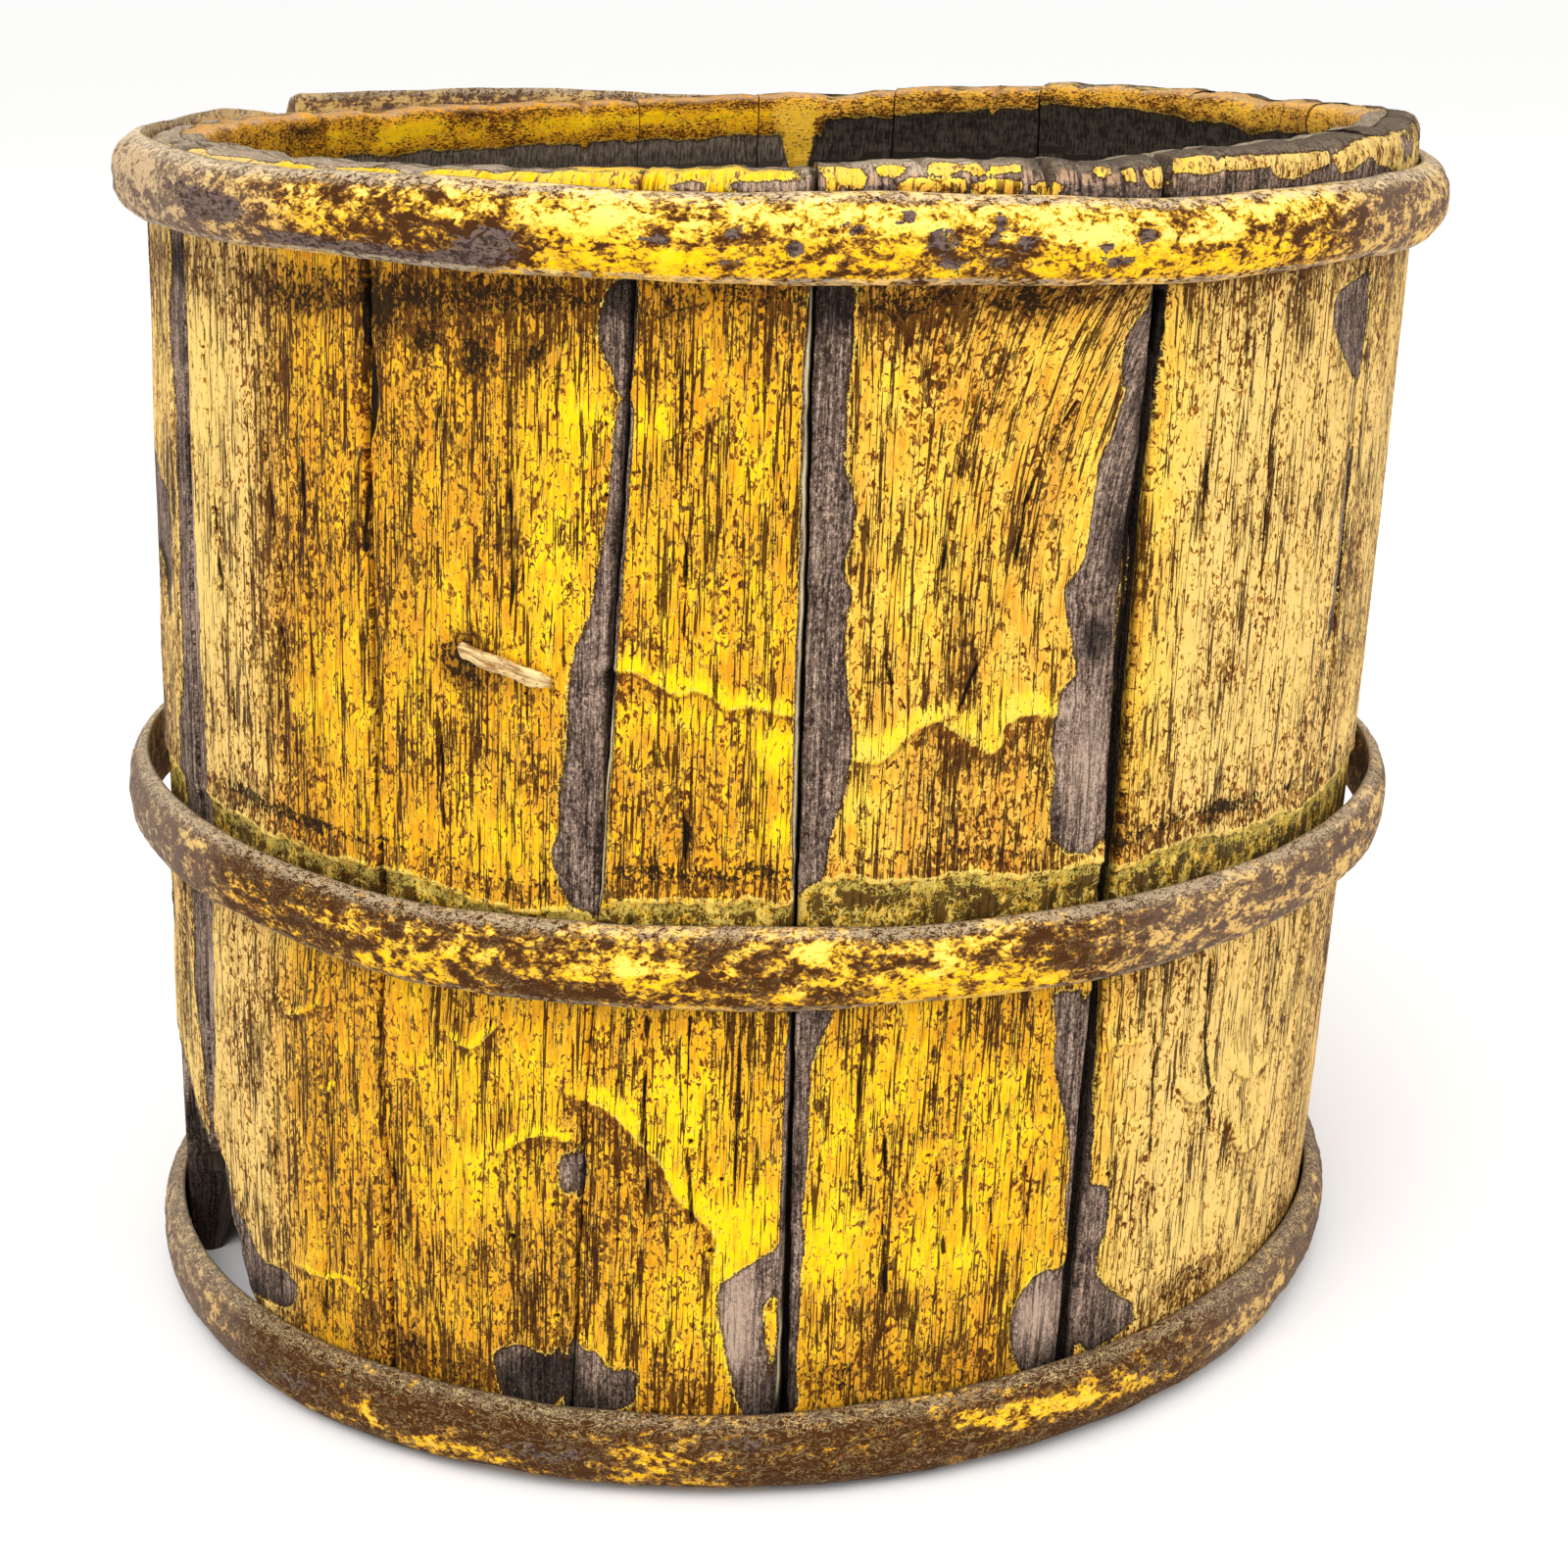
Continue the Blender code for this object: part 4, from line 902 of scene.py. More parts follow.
def stave_points(number, step):
    middle = np.array(0.5 * BODY_HEIGHT)
    ends = [float(stave_side(number, side, middle, 0.0)) for side in (0, 1)]
    width = RADIUS_MM * math.radians(ends[1] - ends[0])
    share, through = ring_shares(face_columns(width, 1000.0 * step))
    broken = STAVES[number][0] == "left_broken_stave"
    levels = broken_levels(LEVEL_STRETCH * step) if broken else stave_levels(LEVEL_STRETCH * step)
    kind, level, inward = (np.array(column(levels, index))[:, None] for index in range(3))
    is_rim, is_break = kind == "rim", kind == "break"
    share = np.broadcast_to(share, (len(levels), len(share)))
    through = np.broadcast_to(through, share.shape)
    top = rim_height(number, mix(ends[0], ends[1], share), share)
    line = np.interp(share, column(BREAK_LINE, 0), column(BREAK_LINE, 1)) - BREAK_SLANT * through
    fine = 0.0008 * noise(share * 60.0, through * 6.0, 84)
    ragged = 0.0018 * layered(share * 12.0, through * 2.5, 83) + fine
    height = np.where(is_rim, top - level, level + 0.0 * share)
    height = np.where(is_break, mix(line + ragged, BREAK_END, level), height)
    left = stave_side(number, 0, height, through)
    right = stave_side(number, 1, height, through)
    gap = np.minimum(share, 1.0 - share) * 1000.0 * BODY_RADIUS * np.radians(right - left)
    degrees = mix(left, right, share)
    return Points(is_rim, is_break, level, inward, share, through, height, top, line, degrees, gap)


# What stands for no marks, in the order of wall_marks: bare wood, no lift, and no crack, lip or ledge near
NO_MARKS = (-5.0, 0.0, 10.0, 10.0, 10.0, 0.0, 0.0, 0.0)


def face_marks(number, at, around, up):
    """The marks of the wall on a stave's outer face, and what stands for none elsewhere."""
    outer = at.through[0] < 0.5
    fields = [np.full(at.height.shape, value) for value in NO_MARKS]
    marks = wall_marks(around[:, outer], up[:, outer], at.gap[:, outer], number * 13 + 5)
    for field, values in zip(fields, marks):
        field[:, outer] = values
    return fields


def inside_band(at, surface, around, up):
    """Millimetres into the painted band inside the rim and below its edge, and the share of the drip."""
    in_dark_part = smooth(DARK_PART_START_MM, DARK_PART_START_MM + 40.0, around)
    in_dark_part = in_dark_part * (1.0 - smooth(DARK_PART_END_MM, DARK_PART_END_MM + 1.0, around))
    edge = PAINTED_INSIDE_MM + 0.35 * noise(surface * 0.07, 0.0, 61) + 0.15 * noise(surface * 0.5, 0.0, 62)
    edge = edge - DARK_PART_SHORTENING_MM * in_dark_part * (1.0 + 0.25 * noise(surface * 0.05, 0.0, 63))
    gap, side = path_distance(DRIP, around, up, closed=True)
    top_gap = 1000.0 * (at.top - at.height)
    return np.maximum(edge - top_gap, -gap * side), top_gap - edge, smooth(-0.2, 0.2, -gap * side)


def stave_surface(number, at, surface, up, lift, band, over):
    """Radius and height of each point: wall, rounded edges, bevel, groove and rough end grain."""
    edge_share = np.clip(1.0 - at.gap / EDGE_ROUND_MM, 0.0, 1.0)
    round_off = EDGE_ROUND_MM * (1.0 - np.sqrt(1.0 - edge_share ** 2))
    top_gap = 1000.0 * (at.top - at.height)
    proud = 0.85 * smooth(-0.3, 0.3, band) * (1.0 - 0.8 * smooth(9.0, 12.0, top_gap))
    roughness = 0.16 * layered(surface * 0.5, up * 0.05, number + 7) - 0.12
    body = outer_radius(at.height) - STAVES[number][3]
    outside = body + 0.001 * (lift - round_off)
    inside = body - WALL - 0.001 * (roughness + proud)
    cut = np.interp(at.height, column(INSIDE_CUTS, 0), column(INSIDE_CUTS, 1))
    inside = inside + np.where(at.is_rim | at.is_break, 0.0, cut)
    curve = 1.0 - np.sqrt(1.0 - over ** 2)
    outside = outside - RIM_OUTER_ROUND * curve
    inside = inside + RIM_INNER_ROUND * curve
    foot = np.clip(1.0 - at.height / FOOT_ROUND_HEIGHT, 0.0, 1.0) * ~at.is_break
    outside = outside - FOOT_ROUND * foot
    radius = mix(mix(outside, inside, at.through), 0.5 * (outside + inside), at.inward)
    pores = 0.06 * noise(surface * 1.6, at.inward * 3.0, number)
    pores = pores + 0.05 * noise(surface * 5.0, at.inward * 9.0, 3)
    rim_end =np.where(at.is_rim & (at.inward > 0.0), 0.001 * (0.25 * at.inward + pores), 0.0)
    splinters = 0.0012 * at.inward * noise(at.share * 25.0, at.inward * 4.0, 85)
    return radius, at.height + rim_end + np.where(at.is_break, splinters, 0.0)


def stave_grain(number, at, surface, around, up):
    """Millimetres across and along the grain, and a third place that differs from stave to stave."""
    depth = mix(at.through, 0.5, at.inward) * 1000.0 * WALL
    on_side = (at.through > 0.0) & (at.through < 1.0)
    slant = slanted_grain(around, up) if STAVES[number][0] == "front_right_stave" else 0.0
    near_top = 1000.0 * (at.top - at.height) < 14.0
    stretch = np.where(at.through > 0.7, np.where(near_top, 4.0, 0.35), 1.0)
    across = surface - slant + np.where(on_side, depth, 0.0)
    return stacked(across, stretch * up + 24.0 * at.inward * at.is_rim, number * 17.0 + depth * 0.15)


def rubbed_edge(number, share, gap, up):
    """One along a stave's rubbed edges, broken here and there."""
    total = np.zeros(share.shape)
    for stave, side, low, high in RUBBED_EDGES:
        if stave == number:
            on_half = share > 0.5 if side else share < 0.5
            width = 0.30 + 0.22 * noise(up * 0.12, side * 5.0, stave + 33)
            span = smooth(low, low + 6.0, up) * (1.0 - smooth(high - 6.0, high, up))
            total = np.maximum(total, on_half * span * smooth(-0.15, 0.15, width - gap))
    return total


def stave_cover(at, cover, band, surface, around, height, over):
    """Millimetres into the paint all round a stave: its face, sides, inside, worn top and broken end."""
    on_side = (at.through > 0.0) & (at.through < 1.0)
    on_face = mix(cover, -4.0, smooth(0.05, 0.35, at.through))
    cover = np.where(at.through < 0.6, on_face, np.where(on_side, -5.0, band))
    near_side = 1.0 - smooth(140.0, 175.0, np.abs(around))
    greyed = 1.6 * smooth(0.0, 10.0, around) + 1.5 * smooth(42.0, 62.0, -around)
    worn_top = np.maximum(-4.0, 2.0 * layered(surface * 0.16, at.inward, 71) + 0.3 - greyed)
    top_start = np.where((around > WIDE_GAP_MM) & (at.through < 0.5), 0.88, 0.55)
    top_start = mix(top_start, 0.1, near_side * (at.through > 0.5))
    top_share = smooth(top_start, 0.99, over) * (1.0 - 0.3 * (at.through > 0.9) * (1.0 - near_side))
    cover = mix(cover, worn_top, top_share)
    break_cover = np.where(at.through > 0.02, -5.0, np.minimum(cover, 1000.0 * (height - at.line) - 1.5))
    return np.where(at.is_break, break_cover, cover)


def end_grain(at, around, over):
    """How far a point lies in the end grain of the rim or of the broken end."""
    on_end = 1.0 * (at.inward > 0.0)
    end = np.where(at.is_rim, np.maximum(0.5 * smooth(0.6, 1.0, over), on_end), 0.0)
    end = end * (1.0 - 0.5 * smooth(20.0, 50.0, around))
    return np.where(at.is_break, np.maximum(on_end, smooth(0.1, 0.5, at.through)), end)


def inner_marks(at, surface, around, up, under_band, in_drip):
    """Bright blobs on the inside of a stave, and how much darker it is drawn: more below the painted band,
    most on the right of the far wall, with smears, and none in the drip.
    """
    top_gap = 1000.0 * (at.top - at.height)
    dark_part_share = smooth(DARK_PART_START_MM, DARK_PART_START_MM + 80.0, around)
    dark_part_share = dark_part_share * (1.0 - smooth(DARK_PART_END_MM, DARK_PART_END_MM + 7.6, around))
    grime_and_shade = mix(0.25, 1.2, dark_part_share) * smooth(mix(9.0, 3.2, dark_part_share), mix(12.0, 4.6, dark_part_share), top_gap)
    blobs = spots(INSIDE_BRIGHT_SPOTS, around, up + 0.8 * noise(surface * 0.3, up * 0.3, 401))
    smears = spots(INSIDE_DARK_SPOTS, around, up + 0.8 * noise(surface * 0.3, up * 0.3, 403))
    grime_and_shade = mix(grime_and_shade + smears + 0.5 * smooth(-2.0, 0.0, under_band), 0.0, in_drip)
    return np.maximum(in_drip, blobs), grime_and_shade


def paler_paint(number, at, around, up):
    """How much paler the paint is drawn: towards both sides as seen from the front, and on one stave above
    the middle hoop.
    """
    pale = np.maximum(smooth(76.0, 108.0, -around), smooth(40.0, 84.0, around))
    pale = pale * (1.0 - 0.4 * smooth(120.0, 150.0, np.abs(around)))
    pale = pale * (1.0 - np.where(around < 0.0, 0.9, 0.4) * smooth(0.6, 0.8, at.through))
    return pale + 0.3 * (number == CHALKY_STAVE) * smooth(88.0, 100.0, up) * (at.through < 0.6)


def make_stave(number, step, material):
    at = stave_points(number, step)
    surface = RADIUS_MM * np.radians(at.degrees)
    around = wrapped(surface)
    up = 1000.0 * at.height
    cover, lift, crack, lip, ledge, bright, grime_and_shade, worn = face_marks(number, at, around, up)
    band, under_band, in_drip = inside_band(at, surface, around, up)
    over = np.where(at.is_rim, np.clip(1.0 - at.level / RIM_DROP, 0.0, 1.0), 0.0)
    radius, height = stave_surface(number, at, surface, up, lift, band, over)

    outward, inside = at.through < 0.6, at.through > 0.7
    on_side = (at.through > 0.0) & (at.through < 1.0)
    cover = stave_cover(at, cover, band, surface, around, height, over)
    inner_bright, inner_darkening = inner_marks(at, surface, around, up, under_band, in_drip)
    # On the side faces in the seams a high value is painted shade, which turns the bare wood near black.
    grime_and_shade = np.where(inside, inner_darkening, np.where(on_side, 0.9 * (1.0 - over), grime_and_shade))
    grime_and_shade = grime_and_shade + 0.45 * smooth(0.1, 0.6, over) * smooth(15.0, 40.0, around) * outward
    worn = np.where(inside, 0.9 * (1.0 - in_drip), worn)
    bright = np.where(inside, inner_bright, bright) + 0.8 * smooth(0.1, 0.5, over) * outward
    rub = rubbed_edge(number, at.share, at.gap, up) * (at.through < 0.05)
    inner = smooth(0.45, 0.9, at.through) * (1.0 - 0.4 * at.inward)
    zones = stacked(paler_paint(number, at, around, up), inner, end_grain(at, around, over), over)
    layers = {"grain": stave_grain(number, at, surface, around, up),
              "edges": np.clip(stacked(cover, crack, lip, ledge), -FAR_MM, FAR_MM),
              "marks": stacked(bright, grime_and_shade, worn, rub), "zones": zones}
    skin(STAVES[number][0], place(at.degrees, radius, height), layers, material)


# Hoops

def hoop_shape(hoop, run):
    """Stand-off, thickness, flatness and height share of a hoop at degrees from its outer end."""
    rise = smooth(0.0, 1.0, 1.0 - (run - LAP) / LAP_RAMP)
    under = hoop.thick * mix(UNDER_SHARE, TIP_SHARE, np.minimum(1.0, run / LAP))
    blunt = mix(0.55, 1.0, smooth(-0.2, 1.2, run))
    tuck = smooth(360.0 - LAP_RAMP, 360.0, run)
    tail = np.clip((run - 360.0) / LAP, 0.0, 1.0)
    thick = hoop.thick * mix(1.0, 0.82, rise) * blunt * mix(1.0, mix(UNDER_SHARE, TIP_SHARE, tail), tuck)
    height_share = mix(0.8, 1.0, blunt) * mix(1.0, mix(0.92, 0.7, tail), tuck)
    return rise * (under + FIT_GAP), thick, mix(HOOP_POWER, 7.0, tuck), height_share


def hoop_centre(hoop, run):
    """Height of the middle of a hoop at degrees from its outer end."""
    degrees = hoop.outer_end - run
    last_turn, last_rise = hoop.waves[-1]
    waves = ((last_turn - 360.0, last_rise),) + hoop.waves
    wave = np.interp(wrapped_degrees(degrees), column(waves, 0), column(waves, 1))
    wave = wave + np.interp(run, column(hoop.ends, 0), column(hoop.ends, 1))
    return hoop.centre + hoop.slope * BODY_RADIUS * np.sin(np.radians(degrees)) + wave


def hoop_section(hoop):
    """Share of the height at each point round the strip, which of them lie on its face, and their arc."""
    back = np.linspace(-1.0, 1.0, HOOP_BACK_POINTS)
    face = np.cos(math.pi * (np.arange(HOOP_FACE_POINTS) + 0.6) / (HOOP_FACE_POINTS + 0.2))
    bend = (1.0 - np.abs(face) ** HOOP_POWER) ** (1.0 / HOOP_POWER)
    steps = np.hypot(500.0 * hoop.tall * np.diff(face), 1000.0 * hoop.thick * np.diff(bend))
    length = np.concatenate([[0.0], np.cumsum(steps)])
    profile = np.concatenate([500.0 * hoop.tall * back - 30.0, 0.5 * length[-1] - length])
    section = np.concatenate([back, face])
    return section[None, :], np.arange(section.size)[None, :] >= HOOP_BACK_POINTS, profile[None, :]


def hoop_relief(hoop, arc, profile, surface, up, seed):
    """Lumps as a share of the thickness, and fibres and flakes in metres."""
    lumps = 1.0 + 0.10 * layered(arc * 0.07, profile * 0.16, seed + 4)
    lumps = lumps + 0.06 * layered(arc * 0.25, profile * 0.35, seed + 5, 2)
    fibres = 0.07 * hoop.fibre * layered(arc * 0.12, profile * 1.1, seed + 6, 2)
    flakes = smooth(-0.05, 0.10, layered(arc * 0.35, profile * 0.40, seed + 8, 4))
    for x, y, reach, rise in HOOP_LUMPS:
        around, height = on_wall(x, y, hoop.thick)
        flakes = flakes + rise * np.exp(-(np.hypot(surface - around, up - height) / reach) ** 4)
    return lumps, 0.001 * (fibres + 0.16 * flakes)


def hoop_layers(hoop, section, at_end, arc, profile, surface, up, seed):
    """The painted values of a hoop: its marks by the photograph in front and by noise behind."""
    drift = 0.8 * layered(surface * 0.4, up * 0.4, 301)
    climb = 0.6 * layered(surface * 0.4, up * 0.4, 305)
    front = 1.0 - smooth(*HOOP_SHOWN_MM, np.abs(surface))
    standing = 0.6 * hoop.thick + 0.5 * hoop.slack
    dark = spots(placed_spots(HOOP_DARK, standing), surface + drift, up + climb) * front
    bright = spots(placed_spots(HOOP_BRIGHT, standing), surface + drift, up + climb) * front
    cloud = layered(arc * 0.02, section * 0.4, seed + 9)
    bright = bright + np.maximum(0.0, mix(0.7, 0.2, front) * cloud)
    dark = dark + np.maximum(0.0, mix(-0.7, -0.2, front) * cloud)
    left, right = hoop.fade
    pale = smooth(left, left + 44.0, -surface) + smooth(right, right + 40.0, surface)
    pale = pale + 0.5 * smooth(88.0, 112.0, -surface) * (1.0 - smooth(160.0, 260.0, -surface))
    return {"grain": stacked(arc, profile, float(seed)), "marks": stacked(bright, dark, pale, hoop.dirt_and_shade),
            "zones": stacked(0.5 * section + 0.5, at_end, 0.0, 0.0)}


def make_hoop(hoop, seed, material):
    section, on_face, profile = hoop_section(hoop)
    tip = 360.0 + LAP * 0.985
    run = np.concatenate([[0.0, 0.05, 0.15, 0.35, 0.7], np.linspace(1.1, tip, HOOP_STATIONS)])[:, None]
    degrees = hoop.outer_end - run + 0.0 * section
    arc = RADIUS_MM * np.radians(run)
    surface = wrapped(RADIUS_MM * np.radians(degrees))
    stand, thick, power, height_share = hoop_shape(hoop, run)
    sway = 0.00025 * noise(arc * 0.03, 0.0, seed) + 0.00012 * noise(arc * 0.11, 0.0, seed + 1)
    wide = 1.0 + 0.05 * noise(arc * 0.035, 5.0, seed + 2) + 0.02 * noise(arc * 0.15, 5.0, seed + 3)
    at_end = (run < 0.04) | (run > tip - 0.01)
    end_share = np.where(at_end, 0.85, 1.0)
    half = 0.5 * hoop.tall * height_share * wide * end_share
    heights = hoop_centre(hoop, run) + sway + half * section
    if hoop.name == "bottom_hoop":
        heights = np.maximum(heights, 0.0004)
    up = 1000.0 * heights
    slack = hoop.slack * np.sin(np.radians(degrees)) ** 2
    bulge = np.where(on_face, (1.0 - np.abs(section) ** power) ** (1.0 / power), 0.0)
    lumps, relief = hoop_relief(hoop, arc, profile, surface, up, seed)
    outward = bulge * (thick * end_share * lumps + relief)
    radius = outer_radius(heights) + FIT_GAP + stand + slack + outward
    layers = hoop_layers(hoop, section, at_end, arc, profile, surface, up, seed)
    skin(hoop.name, place(degrees, radius, heights), layers, material)


def make_splinter(material):
    """Two strands of pale raw wood lying side by side, ragged at both ends."""
    (left, left_height), (right, right_height) = SPLINTER_ENDS
    angle = np.linspace(0.0, 2.0 * math.pi, SPLINTER_POINTS + 1)[:-1] + 0.3
    up = np.cos(angle)
    rows = []
    grains = []
    for share in np.linspace(0.0, 1.0, SPLINTER_STATIONS):
        arc = SPLINTER_LENGTH_MM * share
        size = smooth(-0.02, 0.10, share) * (1.0 - 0.55 * smooth(0.90, 1.01, share))
        size *= 1.0 + 0.16 * layered(arc * 0.7, 0.0, 3)
        out = np.clip(np.sin(angle) * 0.6 + 0.5, 0.0, 1.0)
        valley = 0.42 * hump(up + 0.1 - 0.1 * math.sin(share * 5.0), 0.0, 0.16)
        fibres = 0.10 * noise(up * 7.0, arc * 0.25, 5)
        out = out * (1.0 - valley * smooth(0.3, 0.8, out) + fibres)
        height = mix(left_height, right_height, share) + 0.5 * SPLINTER_HEIGHT * size * up
        height = height + 0.00012 * math.sin(arc * 0.9)
        radius = outer_radius(height) + FIT_GAP + SPLINTER_THICKNESS * size * out
        rows.append(place(mix(left, right, share), radius, height))
        grains.append(stacked(arc, up * 1.6 + out * 0.7, 3.0))
    skin("face_splinter", np.array(rows), {"grain": np.array(grains)}, material)


# Materials

class Value:
    """What a node puts out. It adds, subtracts and multiplies like a number."""

    def __init__(self, make, socket):
        self.make = make
        self.socket = socket

    def __add__(self, other):
        return self.make.maths("ADD", self, other)

    def __sub__(self, other):
        return self.make.maths("SUBTRACT", self, other)

    def __rsub__(self, other):
        return self.make.maths("SUBTRACT", other, self)

    def __mul__(self, other):
        return self.make.maths("MULTIPLY", self, other)

    __radd__ = __add__
    __rmul__ = __mul__


class Finish:
    """One material, with short ways to build its nodes."""

    def __init__(self, name):
        self.material = bpy.data.materials.new(name)
        self.material.use_nodes = True
        self.tree = self.material.node_tree
        self.shader = self.tree.nodes["Principled BSDF"]
        self.grain = self.node("Attribute", {}, "Vector", attribute_name="grain")

    def put(self, socket, value):
        if isinstance(value, Value):
            self.tree.links.new(value.socket, socket)
        else:
            socket.default_value = value

    def node(self, kind, inputs, output=0, **settings):
        node = self.tree.nodes.new("ShaderNode" + kind)
        for key, value in settings.items():
            setattr(node, key, value)
        for key, value in inputs.items():
            self.put(node.inputs[key], value)
        return Value(self, node.outputs[output])

    def maths(self, operation, *values, clamp=False):
        return self.node("Math", dict(enumerate(values)), operation=operation, use_clamp=clamp)

    def held(self, value):
        """A value held between nothing and one."""
        return self.maths("ADD", value, 0.0, clamp=True)

    def larger(self, first, second):
        return self.maths("MAXIMUM", first, second)

    def apart(self, value, middle):
        """How far a value is from a middle."""
        return self.maths("ABSOLUTE", value - middle)

    def step(self, value, low, high):
        """Nothing below the low value and one above the high one."""
        return self.node("MapRange", {"Value": value, "From Min": low, "From Max": high},
                         interpolation_type="SMOOTHSTEP")

    def band(self, value, low, high, fade):
        """One between two values, fading at both."""
        return self.step(value, low, low + fade) * (1.0 - self.step(value, high - fade, high))

    def ridge(self, value, thin, wide):
        """One along the thin lines where a noise crosses its middle."""
        return 1.0 - self.step(self.apart(value, 0.5), thin, wide)

    def blend(self, share, first, second):
        return self.node("Mix", {"Factor": share, 6: first, 7: second}, output=2, data_type="RGBA")

    def stepped(self, value, tone, *stops):
        """A tone with others laid over it. Each stop: where it starts and is full, its share, its colour."""
        for low, high, share, colour in stops:
            tone = self.blend(self.step(value, low, high) * share, tone, colour)
        return tone

    def layer(self, name):
        """The four values of a painted layer."""
        layer = self.node("Attribute", {}, "Color", attribute_name=name)
        parts = self.node("SeparateColor", {0: layer}).socket.node.outputs
        alpha = layer.socket.node.outputs["Alpha"]
        return [Value(self, socket) for socket in (*parts, alpha)]

    def noise(self, across, along, detail=3.0, rough=0.55, twist=0.0, shift=0.0, deep=1.0, grain=None):
        """Noise along the grain, its first two numbers saying how many features there are to a millimetre."""
        point = self.node("Mapping", {"Vector": grain or self.grain, "Scale": (across, along, deep),
                                      "Location": (shift, shift * 0.7, shift * 1.3)})
        return self.node("TexNoise", {"Vector": point, "Scale": 1.0, "Detail": detail, "Roughness": rough,
                                      "Distortion": twist})

    def done(self, tone, roughness, height, strength=0.9, gleam=0.5):
        """The material with its colour, roughness and relief, whose height is in millimetres."""
        relief = self.node("Bump", {"Strength": strength, "Distance": 0.001, "Height": height})
        for name, value in (("Base Color", tone), ("Roughness", roughness), ("Normal", relief),
                            ("Specular IOR Level", gleam)):
            self.put(self.shader.inputs[name], value)
        return self.material


def colour(red, green, blue):
    """A colour picked as it looks on a screen, from 0 to 255, as light."""
    light = []
    for value in (red, green, blue):
        share = value / 255.0
        light.append(share / 12.92 if share <= 0.04045 else ((share + 0.055) / 1.055) ** 2.4)
    return (*light, 1.0)


BRIGHT_YELLOW = colour(255, 212, 4)
MIDDLE_YELLOW = colour(242, 180, 15)
DEEP_YELLOW = colour(214, 142, 20)
PALE_YELLOW = colour(238, 200, 124)
HALO_YELLOW = colour(255, 228, 108)
INSIDE_YELLOW = colour(255, 178, 6)
OCHRE = colour(194, 122, 22)
RUST_BROWN_AND_SHADE = colour(120, 62, 10)
LINE_BROWN = colour(56, 24, 3)
WASH_BROWN = colour(104, 62, 14)
SOOT = colour(28, 20, 11)
OLIVE = colour(140, 106, 28)
OLIVE_DARK = colour(62, 44, 16)
MOSS = colour(252, 222, 116)
GREY_WOOD = colour(122, 101, 88)
LIGHT_WOOD = colour(186, 160, 140)
DARK_WOOD = colour(46, 35, 30)
INNER_WOOD = colour(166, 146, 128)
INNER_DARK = colour(84, 72, 62)
GAP_BLACK = colour(12, 9, 8)
RUBBED_PALE = colour(240, 222, 176)
TOP_GREY = colour(188, 164, 142)
RIM_TAN = colour(214, 172, 132)
BARK = colour(110, 90, 82)
DARK_BARK_AND_SHADE = colour(58, 42, 38)
HOOP_UMBER = colour(72, 40, 10)
HOOP_BROWN = colour(130, 82, 24)
HOOP_OCHRE = colour(186, 134, 48)
HOOP_CREAM = colour(228, 206, 146)
HOOP_HIGHLIGHT_CREAM = colour(255, 232, 130)
HOOP_RUBBED = colour(224, 202, 168)
FADED_BROWN = colour(112, 92, 80)
FADED_TAN = colour(192, 162, 126)
SPLINTER_BROWN = colour(150, 100, 40)
SPLINTER_PALE = colour(244, 214, 150)
SPLINTER_DARK = colour(92, 58, 24)
IRON_DARK = colour(40, 24, 18)
IRON_RUST = colour(120, 66, 36)


